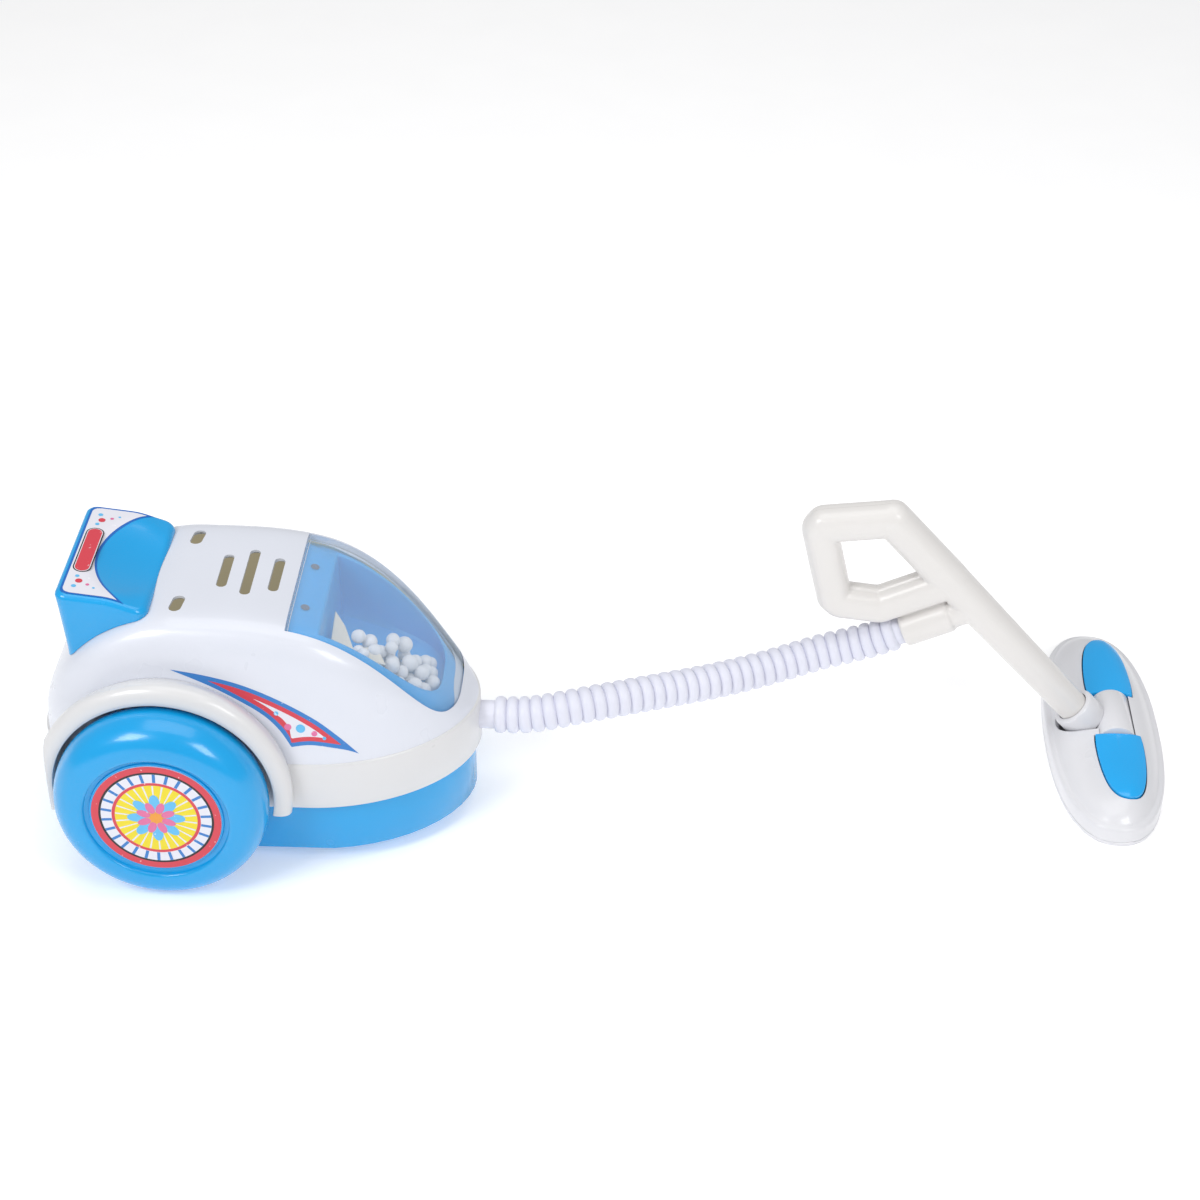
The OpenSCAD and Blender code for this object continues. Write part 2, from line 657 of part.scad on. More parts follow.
// Bead tray hung under the window: flange, cup and sloping floor with two air holes
module bead_tray() color("dodgerblue") in_canister() {
    flange_d = shell_wall + seat_gap;
    difference() {
        intersection() {
            window_prism(flange_out, tray_front_z - 2 * tray_wall, shell_top_z);
            shell_solid(flange_d, skirt_top_z - 2 * tray_wall);
        }
        difference() {
            intersection() {
                window_prism(flange_out + overrun, 0, shell_top_z);
                shell_solid(flange_d + flange_t, 0);
            }
            pit(tray_wall);
        }
        intersection() {
            pit(0);
            tray_wedge(0, shell_top_z);
        }
        tray_wedge(-shell_top_z, -tray_wall);
        for (s = [-1, 1]) hull() translate([window_x + air_hole_x, s * air_hole_y, tray_front_z])
            cylinder(r = air_hole_r, h = shell_h, $fn = 16);
    }
}
// The pit's outline, grown by d, with the ledge left at its rear
module pit(d) intersection() {
    window_prism(-flange_in + d, 0, shell_top_z);
    slab([window_x + tray_ledge - d, -body_w, 0], [body_front, body_w, shell_top_z]);
}
// Space between two heights above the tray's sloping floor
module tray_wedge(low, high) hull() translate([0, body_w / 2, 0]) rotate([90, 0, 0])
    linear_extrude(body_w) polygon([
    [window_x - body_rear, tray_rear_z + body_rear * tan(tray_slope) + low],
    [body_front, tray_rear_z - (body_front - window_x) * tan(tray_slope) + low],
    [body_front, tray_rear_z - (body_front - window_x) * tan(tray_slope) + high],
    [window_x - body_rear, tray_rear_z + body_rear * tan(tray_slope) + high]]);

// Clear cover that carries on the line of the shell
module window() color("lightcyan", 0.4) in_canister() loft([for (i = [0:window_steps])
    let (x = window_x + window_l * sin(end_angle * i / window_steps),
        low = shell_angle(x, window_half(x, 0), 0, 90, 14))
    concat([for (k = [0:window_steps]) shell_point(x, low + (180 - 2 * low) * k / window_steps, 0)],
        [for (k = [window_steps:-1:0])
            shell_point(x, low + (180 - 2 * low) * k / window_steps, shell_wall)])]);

// Loose foam beads in rows on the near side of the tray floor, with a few on top
function bead_rows() = [for (layer = [0, 1]) for (i = [0:7]) for (j = [-6:2]) let (
    pitch = bead_d + bead_gap,
    row = i + layer / 2,
    x = window_x + window_l * bead_start_share + row * pitch * sqrt(3) / 2 * cos(tray_slope),
    y = (j + (i % 2) / 2 + layer / 2) * pitch,
    floor_z = tray_rear_z - (x - window_x) * tan(tray_slope),
    z = floor_z + (bead_d / 2 + bead_gap) / cos(tray_slope) + layer * pitch * bead_layer_share,
    room = window_half(x, -flange_in - bead_d / 2 - bead_gap * 2))
    if (abs(y) < room && z + bead_d / 2 < shell_line(x + bead_d / 2, shell_wall) - bead_gap
        && (layer == 0 || (j + i) % 3 == 0) && j - i / 3 < 0) [x, y, z]];
module foam_beads() color("white") in_canister() for (p = bead_rows()) translate(p) sphere(d = bead_d);

// Motor can, its shaft and the fan that stirs the beads
module motor() color("silver") in_canister() translate([motor_x, 0, motor_seat_z]) difference() {
    cylinder(r = motor_r, h = motor_h);
    translate([0, 0, motor_h - shaft_in]) cylinder(r = shaft_r + run_gap, h = shaft_in + overrun);
}
module motor_shaft() color("gray") in_canister() translate([motor_x, 0, motor_top_z - shaft_in + run_gap])
    cylinder(r = shaft_r, h = shaft_in + fan_gap + fan_h);
module fan() color("white") in_canister() translate([motor_x, 0, fan_z]) linear_extrude(fan_h) difference() {
    union() {
        circle(r = fan_hub_r);
        for (i = [0:fan_blades - 1]) rotate(360 * (i + 0.5) / fan_blades)
            translate([0, -fan_blade_t / 2]) square([fan_r, fan_blade_t]);
    }
    circle(r = shaft_r);
}

// Two cells side by side across the body, with a spring at one end and a plate at the other
module at_cells() for (s = [-1, 1]) translate([bay_x + s * cell_pitch / 2, 0, cell_z]) children();
module battery_cells() color("darkslategray") in_canister() at_cells() {
    along_y(cell_start) cylinder(d = cell_d, h = cell_l);
    along_y(cell_start + cell_l) cylinder(d = button_d, h = button_l);
}
module battery_contacts() color("silver") in_canister() for (s = [-1, 1])
    slab([bay_x - cell_pitch, s < 0 ? -bay_half : bay_half - contact_t, cell_z - cell_d / 3],
        [bay_x + cell_pitch, s < 0 ? -bay_half + contact_t : bay_half, cell_z + cell_d / 3]);
module battery_springs() color("silver") in_canister() at_cells() along_y(-bay_half + contact_t)
    difference() {
    cylinder(d = spring_d, h = cell_start + bay_half - contact_t);
    translate([0, 0, -overrun]) cylinder(d = spring_d - 2 * spring_wire, h = cell_l);
}

// Battery door flush in the floor, with the tab that its screw holds
module battery_door() color("deepskyblue") in_canister() translate([0, 0, chassis_z]) difference() {
    union() {
        slab([bay_x - door_l / 2 + seat_gap, -door_half + seat_gap, 0],
            [bay_x + door_l / 2 - seat_gap, door_half - seat_gap, chassis_wall]);
        slab([bay_x, -post_r, 0], [bay_x + door_l / 2 + 2 * post_r, post_r, chassis_wall - seat_gap]);
    }
    translate([door_screw_x, 0, -overrun])
        cylinder(r = screw_r + run_gap, h = chassis_wall + 2 * overrun);
}
module door_screw() color("silver") in_canister() translate([door_screw_x, 0, chassis_z]) {
    cylinder(r = screw_r, h = door_screw_l);
    translate([0, 0, -screw_head_t / 2]) cylinder(r = screw_head_r, h = screw_head_t / 2);
}

// Slide switch: a body on the floor and a knob that reaches through the slot
module switch_body() color("dimgray") in_canister() translate([switch_x, 0, chassis_z + chassis_wall])
    difference() {
    slab([-switch_l / 2, -switch_w / 2, 0], [switch_l / 2, switch_w / 2, switch_h]);
    slab([-(knob_l + knob_travel) / 2 - knob_flange - seat_gap, -knob_w / 2 - seat_gap, -overrun],
        [(knob_l + knob_travel) / 2 + knob_flange + seat_gap, knob_w / 2 + seat_gap,
            knob_flange_t + 2 * seat_gap]);
}
module switch_knob() color("black") in_canister() translate([switch_x - knob_travel / 2, 0, 0]) {
    slab([-knob_l / 2, -knob_w / 2, chassis_z - knob_drop],
        [knob_l / 2, knob_w / 2, chassis_z + chassis_wall + seat_gap]);
    slab([-knob_l / 2 - knob_flange, -knob_w / 2, chassis_z + chassis_wall + seat_gap],
        [knob_l / 2 + knob_flange, knob_w / 2, chassis_z + chassis_wall + seat_gap + knob_flange_t]);
}

// Rear wheels: half section as [radius, distance from the body's middle]
function wheel_profile() = concat([[axle_r, wheel_in], [hub_r, wheel_in],
    [hub_r, wheel_face - recess_depth - dish_t],
    [recess_r, wheel_face - recess_depth - dish_t],
    [wheel_r * tread_shares[0][0] - dish_t, wheel_in + dish_t],
    [wheel_r * tread_shares[0][0] - dish_t, wheel_in]],
    [for (p = tread_shares) [wheel_r * p[0], wheel_in + (wheel_face - wheel_in) * p[1]]],
    [[recess_r, wheel_face - label_t], [recess_r, wheel_face - recess_depth], [0, wheel_face - recess_depth],
    [0, wheel_in + axle_grip], [axle_r, wheel_in + axle_grip]]);
module wheel(s) in_canister() translate([0, 0, axle_z]) rotate([-90 * s, 0, 0])
    rotate_extrude($fn = 64) polygon(wheel_profile());
module wheel_label(s) in_canister() translate([0, 0, axle_z]) rotate([-90 * s, 0, 0])
    translate([0, 0, wheel_face - recess_depth]) cylinder(r = label_r, h = label_t);
module wheel_left() color("deepskyblue") wheel(1);
module wheel_right() color("deepskyblue") wheel(-1);
module wheel_label_left() color("gold") wheel_label(1);
module wheel_label_right() color("gold") wheel_label(-1);
module rear_axle() color("silver") in_canister() along_y(-wheel_in - axle_grip) translate([0, -axle_z, 0])
    cylinder(r = axle_r, h = 2 * (wheel_in + axle_grip));

// Small roller under the nose, on a pin pressed into the ears
module front_roller() color("whitesmoke") in_canister() translate([roller_x, 0, roller_r])
    along_y(-roller_w / 2) difference() {
        cylinder(r = roller_r, h = roller_w);
        translate([0, 0, -overrun]) cylinder(r = pin_r + run_gap, h = roller_w + 2 * overrun);
    }
module roller_pin() color("silver") in_canister() translate([roller_x, 0, roller_r])
    along_y(-roller_w / 2 - seat_gap - ear_t) cylinder(r = pin_r, h = roller_w + 2 * (seat_gap + ear_t));

// Four screws from below that hold chassis, skirt and shell together
module shell_screws() color("silver") in_canister() at_posts() translate([0, 0, chassis_z + run_gap]) {
    cylinder(r = screw_head_r, h = screw_head_t - run_gap);
    cylinder(r = screw_r, h = boss_z + screw_reach - chassis_z - overrun);
}

// Ribbed hose with its bore and plain cuffs
module hose() color("ghostwhite") {
    rib_l = (route_l - cuff_in_l - cuff_out_l) / rib_count;
    rings = concat([hose_ring(0, hose_root_d / 2)],
        [for (i = [0:rib_count - 1]) each [hose_ring(cuff_in_l + i * rib_l, hose_root_d / 2),
            hose_ring(cuff_in_l + (i + 0.5) * rib_l, hose_d / 2)]],
        [hose_ring(route_l - cuff_out_l, hose_root_d / 2), hose_ring(route_l, hose_root_d / 2)]);
    bore = [for (i = [0:rib_count]) hose_ring(route_l * i / rib_count, hose_bore_d / 2)];
    tube(rings, bore);
}
// Tube from outer and inner rings that share their end planes
module tube(outer, inner) {
    n = hose_sides;
    start = len(outer) * n;
    function skin(first, count, turn) = [for (i = [0:count - 2]) for (k = [0:n - 1]) each let (
        a = first + i * n + k, b = first + i * n + (k + 1) % n)
        turn ? [[a, b, a + n], [b, b + n, a + n]] : [[a, a + n, b], [b, a + n, b + n]]];
    function end(a0, b0, turn) = [for (k = [0:n - 1]) each let (
        a = a0 + k, a1 = a0 + (k + 1) % n, b = b0 + k, b1 = b0 + (k + 1) % n)
        turn ? [[a, a1, b], [b, a1, b1]] : [[a, b, a1], [b, b1, a1]]];
    polyhedron(concat([for (q = outer) each q], [for (q = inner) each q]), concat(
        skin(0, len(outer), false), skin(start, len(inner), true), end(0, start, true),
        end((len(outer) - 1) * n, start + (len(inner) - 1) * n, false)));
}

// Wand, handle loop and hose socket as a chain of round bars
module bar(a, b, da, db) hull() {
    translate(a) sphere(d = da, $fn = bar_sides);
    translate(b) sphere(d = db, $fn = bar_sides);
}
function toward(a, b, d) = a + d * (b - a) / norm(b - a);
module wand_body() difference() {
    union() {
        tl_a = toward(handle_tl, handle_tr, corner_cut);
        tl_b = toward(handle_tl, handle_bl, corner_cut);
        bl_a = toward(handle_bl, handle_tl, corner_cut);
        bl_b = toward(handle_bl, handle_b, corner_cut);
        bar(collar_c, handle_j, wand_foot_d, wand_top_d);
        bar(handle_j, handle_tr, wand_top_d, wand_top_d);
        bar(handle_tr, tl_a, bar_d, bar_d);
        bar(tl_a, tl_b, bar_d, bar_d);
        bar(tl_b, bl_a, bar_d, bar_d);
        bar(bl_a, bl_b, bar_d, bar_d);
        bar(bl_b, handle_b, bar_d, bar_d);
        bar(handle_b, handle_j, bar_d, bar_d);
        socket_tube();
        socket_neck();
        socket_web();
        spigot();
    }
    translate(socket_mouth) rotate([0, 90 - link_slope, 0]) translate([0, 0, -overrun])
        cylinder(d = hose_root_d + 2 * seat_gap, h = socket_depth + overrun, $fn = tube_sides);
}
module socket_tube() hull() translate(socket_mouth) rotate([0, 90 - link_slope, 0])
    cylinder(d = socket_d, h = socket_l, $fn = tube_sides);
// Narrow end of the socket that runs into the wand, and the web that hangs it from the handle
module socket_neck() hull() translate(socket_end) rotate([0, 90 - link_slope, 0])
    cylinder(d = socket_d * socket_neck_share, h = socket_neck_l, $fn = tube_sides);
module socket_web() hull() for (l = [socket_web_d, socket_l]) for (k = [0, 1])
    translate(socket_mouth + l * link_dir - k * socket_drop * socket_normal)
    sphere(d = socket_web_d, $fn = bar_sides);
// Foot of the wand that plugs into the collar
module spigot() translate(collar_c) rotate([0, 90 + wand_tilt, 0])
    cylinder(d = wand_foot_d, h = wand_in, $fn = tube_sides);
module wand_half(s) in_wand() mirror([0, s, 0]) intersection() {
    wand_body();
    slab([-nozzle_x, 0, 0], [nozzle_x, nozzle_l, nozzle_x]);
}
module wand_half_left() color("ivory") wand_half(0);
module wand_half_right() color("ivory") wand_half(1);

// Elbow: pivot barrel across the nozzle with the collar that takes the wand
module nozzle_elbow() color("white") in_wand() difference() {
    union() {
        translate([0, 0, barrel_z]) along_y(-barrel_l / 2) cylinder(r = barrel_r, h = barrel_l);
        translate([0, 0, barrel_z]) along_y(-barrel_l / 2 - pivot_l)
            cylinder(r = pivot_r, h = barrel_l + 2 * pivot_l);
        translate(collar_c) rotate([0, 90 + wand_tilt, 0]) cylinder(d = collar_d, h = collar_l);
        translate([0, 0, barrel_z]) rotate([0, neck_angle, 0])
            cylinder(r = neck_r, h = norm(collar_foot - barrel_c));
    }
    translate(collar_c) rotate([0, 90 + wand_tilt, 0]) translate([0, 0, -overrun])
        cylinder(d = wand_foot_d + 2 * run_gap, h = wand_in + overrun + run_gap);
}

// Sole plate with the two posts that the barrel's pivots turn in
module nozzle_sole() color("white") in_nozzle() difference() {
    union() {
        linear_extrude(sole_t) polygon([for (k = [0:nozzle_sides - 1])
            oval(360 * k / nozzle_sides, nozzle_w / 2, nozzle_l / 2)]);
        for (s = [-1, 1]) translate([barrel_x, s * (barrel_l / 2 + seat_gap + pivot_post_t / 2), 0])
            slab([-pivot_r - pivot_post_t / 2, -pivot_post_t / 2, 0],
                [pivot_r + pivot_post_t / 2, pivot_post_t / 2, barrel_z + pivot_r + pivot_post_t / 4]);
    }
    translate([barrel_x, 0, barrel_z]) along_y(-nozzle_l / 2) cylinder(r = pivot_r + run_gap, h = nozzle_l);
    at_nozzle_screws() {
        translate([0, 0, -overrun]) cylinder(r = nozzle_screw_r + seat_gap, h = sole_t + 2 * overrun);
        translate([0, 0, -overrun]) cylinder(r = 2 * nozzle_screw_r + seat_gap, h = overrun + sole_t / 2);
    }
}
module at_nozzle_screws() for (s = [-1, 1]) translate([nozzle_screw_x, s * nozzle_screw_y, 0]) children();

module cover_solid(d) loft([for (i = [0:len(cover_z_shares) - 1]) cover_ring(i, d)]);
// Leaf outline of an insert, as a chain of discs along the nozzle
function leaf_y(i) = let (first = insert_start + insert_half * insert_width_shares[0] / 2)
    first + (insert_end - first) * i / (len(insert_width_shares) - 1)
    - insert_half * insert_width_shares[i] / 2;
module leaf(s, d, z0, z1) intersection() {
    union() for (i = [0:len(insert_width_shares) - 2]) hull() for (k = [i, i + 1])
        translate([barrel_x, s * leaf_y(k), z0])
        cylinder(r = insert_half * insert_width_shares[k] + d, h = z1 - z0, $fn = 20);
    slab([-nozzle_w, s < 0 ? -nozzle_l : insert_start - d, z0],
        [nozzle_w, s < 0 ? d - insert_start : nozzle_l, z1]);
}
// Domed nozzle cover, open over the barrel, the collar and the inserts
module nozzle_cover() color("white") in_nozzle() difference() {
    union() {
        difference() {
            cover_solid(0);
            cover_solid(cover_wall);
        }
        intersection() {
            cover_solid(cover_wall / 2);
            at_nozzle_screws() translate([0, 0, sole_t + run_gap])
                cylinder(r = nozzle_boss_r, h = nozzle_h, $fn = 20);
        }
    }
    translate([barrel_x, 0, barrel_z]) along_y(-barrel_l / 2 - slot_gap)
        cylinder(r = barrel_r + slot_gap, h = barrel_l + 2 * slot_gap);
    slab([barrel_x - slot_left - slot_gap, -collar_d / 2 - slot_gap, 0],
        [barrel_x, collar_d / 2 + slot_gap, nozzle_h + overrun]);
    for (s = [-1, 1]) leaf(s, seat_gap, rim_h + overrun, nozzle_h + overrun);
    at_nozzle_screws() cylinder(r = nozzle_screw_r + seat_gap, h = nozzle_screw_l + seat_gap, $fn = 20);
}
// Blue insert that stands a little proud of the cover
module nozzle_insert(s) in_nozzle() intersection() {
    translate([0, 0, insert_rise]) cover_solid(0);
    difference() {
        leaf(s, 0, rim_h + overrun, nozzle_h + 2 * overrun);
        translate([0, 0, insert_rise - insert_depth]) cover_solid(0);
    }
}
module nozzle_insert_near() color("deepskyblue") nozzle_insert(-1);
module nozzle_insert_far() color("deepskyblue") nozzle_insert(1);
module nozzle_screws() color("silver") in_nozzle() at_nozzle_screws() {
    translate([0, 0, run_gap]) cylinder(r = 2 * nozzle_screw_r, h = sole_t / 2 - run_gap);
    translate([0, 0, run_gap]) cylinder(r = nozzle_screw_r, h = nozzle_screw_l - run_gap);
}

chassis();
skirt();
upper_shell();
grip();
grip_label();
bead_tray();
window();
foam_beads();
motor();
motor_shaft();
fan();
battery_cells();
battery_contacts();
battery_springs();
battery_door();
door_screw();
switch_body();
switch_knob();
rear_axle();
wheel_left();
wheel_right();
wheel_label_left();
wheel_label_right();
front_roller();
roller_pin();
shell_screws();
hose();
wand_half_left();
wand_half_right();
nozzle_elbow();
nozzle_sole();
nozzle_cover();
nozzle_insert_near();
nozzle_insert_far();
nozzle_screws();
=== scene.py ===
"""Looks of a toy vacuum cleaner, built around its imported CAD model.

Shapes are worked out in millimetres, in the canister's frame (x from the rear axle, y from its middle
plane, z from the floor) or in the wand's or the nozzle's own, and become metres in the row frame when
their meshes are made.
"""
import random
from math import atan2, copysign, cos, hypot, pi, radians, sin, sqrt, tau

import bmesh
import bpy
from mathutils import Matrix, Vector


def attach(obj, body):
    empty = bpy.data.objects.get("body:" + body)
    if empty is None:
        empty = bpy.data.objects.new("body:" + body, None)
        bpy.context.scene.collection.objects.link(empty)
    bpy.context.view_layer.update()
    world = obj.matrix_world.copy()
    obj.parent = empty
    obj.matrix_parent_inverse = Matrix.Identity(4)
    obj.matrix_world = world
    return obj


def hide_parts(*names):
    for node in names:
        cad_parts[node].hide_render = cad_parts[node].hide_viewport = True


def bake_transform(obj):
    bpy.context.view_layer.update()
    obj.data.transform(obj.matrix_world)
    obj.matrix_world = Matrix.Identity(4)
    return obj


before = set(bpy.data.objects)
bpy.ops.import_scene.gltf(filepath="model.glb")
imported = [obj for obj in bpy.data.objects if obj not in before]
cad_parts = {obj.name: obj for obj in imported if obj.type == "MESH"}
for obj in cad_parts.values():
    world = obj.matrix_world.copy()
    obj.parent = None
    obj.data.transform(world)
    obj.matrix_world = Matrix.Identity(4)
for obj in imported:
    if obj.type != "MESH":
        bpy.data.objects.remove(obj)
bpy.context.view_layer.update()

MM = 0.001
ROW = Vector((0, 0, 0))
CANISTER = Vector((-142.5, -15, 0))
WAND = Vector((170.8, 21.5, 0))
NOZZLE = Vector((166.5, 21.5, 0))

# Canister sizes, as in the CAD source
BODY_W, BODY_FRONT, BODY_REAR, NOSE_L, REAR_R = 81.4, 97.5, 43.5, 52.5, 26
NOSE_START, REAR_START, NOSE_POWER = BODY_FRONT - NOSE_L, REAR_R - BODY_REAR, 1.9
SKIRT_Z, SKIRT_TOP_Z, SKIRT_WALL = 24.5, 42, 1.8
SHELL_TOP_Z, SHELL_WALL, SHELL_LEDGE = 88.7, 1.8, 0.7
CROWN_X, SIDE_TAPER = BODY_FRONT * 0.047, 0.18
REAR_FALL, FRONT_POWER, FRONT_FALL = 0.55, 3.4, 1.33
CORNER_POWER, NOSE_CORNER_POWER = 9.5, 5.3
SEAT_GAP = 0.3
AXLE_Z = WHEEL_R = 34.2
WHEEL_IN, WHEEL_FACE, LABEL_R = 42.5, 60.5, 20.6
WINDOW_X, WINDOW_L, WINDOW_W, WINDOW_POWER = 40, 51.2, 54.4, 3.5
SIDES = ((1, "left"), (-1, "right"))


# Meshes
def add_object(name, data):
    obj = bpy.data.objects.new(name, data)
    bpy.context.scene.collection.objects.link(obj)
    return obj


def make(name, verts, faces, place=ROW, materials=(), marks=None):
    """A mesh object from points in millimetres; marks gives each face's material."""
    mesh = bpy.data.meshes.new(name)
    mesh.from_pydata([(Vector(v) + place) * MM for v in verts], [], faces)
    obj = paint(add_object(name, mesh), *materials)
    if marks:
        mesh.polygons.foreach_set("material_index", marks)
    tidy(obj)
    return obj


def tidy(obj, merge=0.002):
    """Joins points that coincide, drops flat faces and turns the normals out."""
    bm = bmesh.new()
    bm.from_mesh(obj.data)
    bmesh.ops.remove_doubles(bm, verts=bm.verts, dist=merge * MM)
    bmesh.ops.dissolve_degenerate(bm, edges=bm.edges, dist=merge * MM / 4)
    bmesh.ops.recalc_face_normals(bm, faces=bm.faces)
    bm.to_mesh(obj.data)
    bm.free()


def bake(obj):
    """Applies the object's modifiers."""
    bpy.context.view_layer.update()
    graph = bpy.context.evaluated_depsgraph_get()
    obj.data = bpy.data.meshes.new_from_object(obj.evaluated_get(graph))
    obj.modifiers.clear()
    return obj


def combine(obj, other, operation="DIFFERENCE"):
    """Cuts the other solid from obj, or adds it, or cuts all but it away, and deletes the other."""
    modifier = obj.modifiers.new("combine", "BOOLEAN")
    modifier.operation, modifier.object, modifier.solver = operation, other, "EXACT"
    bake(obj)
    bpy.data.objects.remove(other)
    return obj


def bevel(obj, width, segments, angle, harden=False):
    modifier = obj.modifiers.new("bevel", "BEVEL")
    modifier.width, modifier.segments, modifier.limit_method = width * MM, segments, "ANGLE"
    modifier.angle_limit, modifier.harden_normals = radians(angle), harden
    return obj


def shade(obj, angle):
    obj.data.polygons.foreach_set("use_smooth", [True] * len(obj.data.polygons))
    obj.data.set_sharp_from_angle(angle=radians(angle))
    return obj


def paint(obj, *materials):
    obj.data.materials.clear()
    for material in materials:
        obj.data.materials.append(material)
    return obj


def place(obj, body, slot, *nodes):
    """The piece rides on a body and stands for its CAD nodes; the slot is not used."""
    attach(obj, body)
    if nodes:
        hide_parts(*nodes)
    return obj


def loft(rings, closed=True):
    """Points and faces through rings of equal length, joined in a loop or capped at both ends."""
    n, count, faces = len(rings[0]), len(rings), []
    for i in range(count if closed else count - 1):
        a, b = i * n, (i + 1) % count * n
        faces += [(a + k, a + (k + 1) % n, b + (k + 1) % n, b + k) for k in range(n)]
    if not closed:
        faces += [tuple(range(n - 1, -1, -1)), tuple(range((count - 1) * n, count * n))]
    return [p for ring in rings for p in ring], faces


def sheet(lines):
    """Points and faces of an open sheet through lines of equal length."""
    n = len(lines[0])
    starts = range(0, (len(lines) - 1) * n, n)
    faces = [(a + k, a + k + 1, a + n + k + 1, a + n + k) for a in starts for k in range(n - 1)]
    return [p for line in lines for p in line], faces


def turns(count):
    """Angles that share out a full turn."""
    return [tau * i / count for i in range(count)]


def circle(x, y, r, count):
    return [(x + r * cos(a), y + r * sin(a)) for a in turns(count)]


def lathe(name, profile, place_at, turn=None, steps=144, materials=()):
    """A closed profile of (radius, height) turned round the Z axis, then turned and moved into place."""
    turn = turn or Matrix.Identity(3)
    rings = [[turn @ Vector((r * cos(a), r * sin(a), h)) for r, h in profile] for a in turns(steps)]
    return make(name, *loft(rings), place_at, materials)


def cylinder(name, r, h0, h1, place_at, turn=None, steps=48):
    return lathe(name, [(0, h0), (r, h0), (r, h1), (0, h1)], place_at, turn, steps)


def prism(name, outline, z0, z1, place_at=CANISTER):
    return make(name, *loft([[(x, y, z) for x, y in outline] for z in (z0, z1)], False), place_at)


def spline(points, per=12):
    """Catmull-Rom points through the given ones."""
    points = [Vector(p) for p in points]
    out = []
    for i in range(len(points) - 1):
        p0, p1, p2 = points[max(i - 1, 0)], points[i], points[i + 1]
        p3 = points[min(i + 2, len(points) - 1)]
        for j in range(per):
            t = j / per
            out.append(0.5 * (2 * p1 + (p2 - p0) * t + (2 * p0 - 5 * p1 + 4 * p2 - p3) * t * t
                              + (3 * p1 - p0 - 3 * p2 + p3) * t ** 3))
    return out + [points[-1]]


def spline_2d(points, per):
    return [(p.x, p.y) for p in spline([(x, y, 0) for x, y in points], per)]


def along(path, s):
    """The point of a path at a distance along it."""
    for a, b in zip(path, path[1:]):
        step = (b - a).length
        if s <= step:
            return a.lerp(b, s / step)
        s -= step
    return path[-1].copy()


def clamp(t):
    return min(max(t, 0.0), 1.0)


def ease(t):
    t = clamp(t)
    return t * t * (3 - 2 * t)


def table_at(table, x):
    """Straight-line value at x in rows of (x, value)."""
    for (x0, v0), (x1, v1) in zip(table, table[1:]):
        if x <= x1:
            return v0 + (v1 - v0) * clamp((x - x0) / (x1 - x0))
    return table[-1][1]


# Materials
class Nodes:
    """A new material's node tree, with its shader at hand."""

    def __init__(self, name):
        self.material = bpy.data.materials.new(name)
        self.material.use_nodes = True
        self.tree = self.material.node_tree
        self.shader = self.tree.nodes["Principled BSDF"]
        self.place = self.add("ShaderNodeTexCoord").outputs["Object"]

    def add(self, kind, **inputs):
        node = self.tree.nodes.new(kind)
        for key, value in inputs.items():
            node.inputs[key].default_value = value
        return node

    def link(self, a, b):
        self.tree.links.new(a, b)

    def feed(self, source, key):
        self.link(source, self.shader.inputs[key])

    def noise(self, scale, detail=3.0, stretch=None):
        node = self.add("ShaderNodeTexNoise", Scale=scale, Detail=detail)
        source = self.place
        if stretch:
            mapping = self.add("ShaderNodeMapping", Scale=stretch)
            self.link(source, mapping.inputs["Vector"])
            source = mapping.outputs["Vector"]
        self.link(source, node.inputs["Vector"])
        return node.outputs["Fac"]

    def spread(self, fac, low, high, start=0.3, end=0.7):
        """Takes start and end to low and high."""
        limits = {"From Min": start, "From Max": end, "To Min": low, "To Max": high}
        node = self.add("ShaderNodeMapRange", **limits)
        self.link(fac, node.inputs["Value"])
        return node.outputs["Result"]

    def blend(self, fac, first, second):
        node = self.add("ShaderNodeMix")
        node.data_type = "RGBA"
        self.link(fac, node.inputs["Factor"])
        colour_in = [s for s in node.inputs if s.type == "RGBA"]
        colour_in[0].default_value, colour_in[1].default_value = (*first, 1), (*second, 1)
        return [s for s in node.outputs if s.type == "RGBA"][0]


def plastic(name, colour, roughness, vary=0.02, grain=0.04, coat=0.0, glow=0.0):
    """Moulded plastic: cloudy colour, uneven gloss and a fine skin texture."""
    n = Nodes(name)
    dark = [c * (1 - vary) for c in colour]
    light = [min(c * (1 + vary / 2), 1) for c in colour]
    n.feed(n.blend(n.spread(n.noise(28), 0, 1), dark, light), "Base Color")
    n.feed(n.spread(n.noise(45), roughness - 0.03, roughness + 0.04), "Roughness")
    bump = n.add("ShaderNodeBump", Strength=grain, Distance=0.0002)
    n.link(n.noise(900, 2), bump.inputs["Height"])
    n.feed(bump.outputs["Normal"], "Normal")
    for key, value in (("Coat Weight", coat), ("Coat Roughness", 0.08), ("Emission Color", (*colour, 1)),
                       ("Emission Strength", glow)):
        n.shader.inputs[key].default_value = value
    return n.material


def metal(name, colour, roughness):
    """Plated steel with fine drawn lines."""
    n = Nodes(name)
    lines = n.noise(160, 4, (1, 12, 1))
    n.feed(n.blend(n.spread(lines, 0, 1), [c * 0.85 for c in colour], colour), "Base Color")
    n.feed(n.spread(lines, roughness - 0.08, roughness + 0.1), "Roughness")
    n.shader.inputs["Metallic"].default_value = 1.0
    return n.material


def print_ink(name, colour):
    """Printed film: flat ink with slight mottling and tiny white specks."""
    n = Nodes(name)
    light = [c + (1 - c) * 0.45 for c in colour]
    n.feed(n.blend(n.spread(n.noise(700, 1), 0, 1, 0.72, 0.76), colour, light), "Base Color")
    n.feed(n.spread(n.noise(120), 0.32, 0.46), "Roughness")
    return n.material


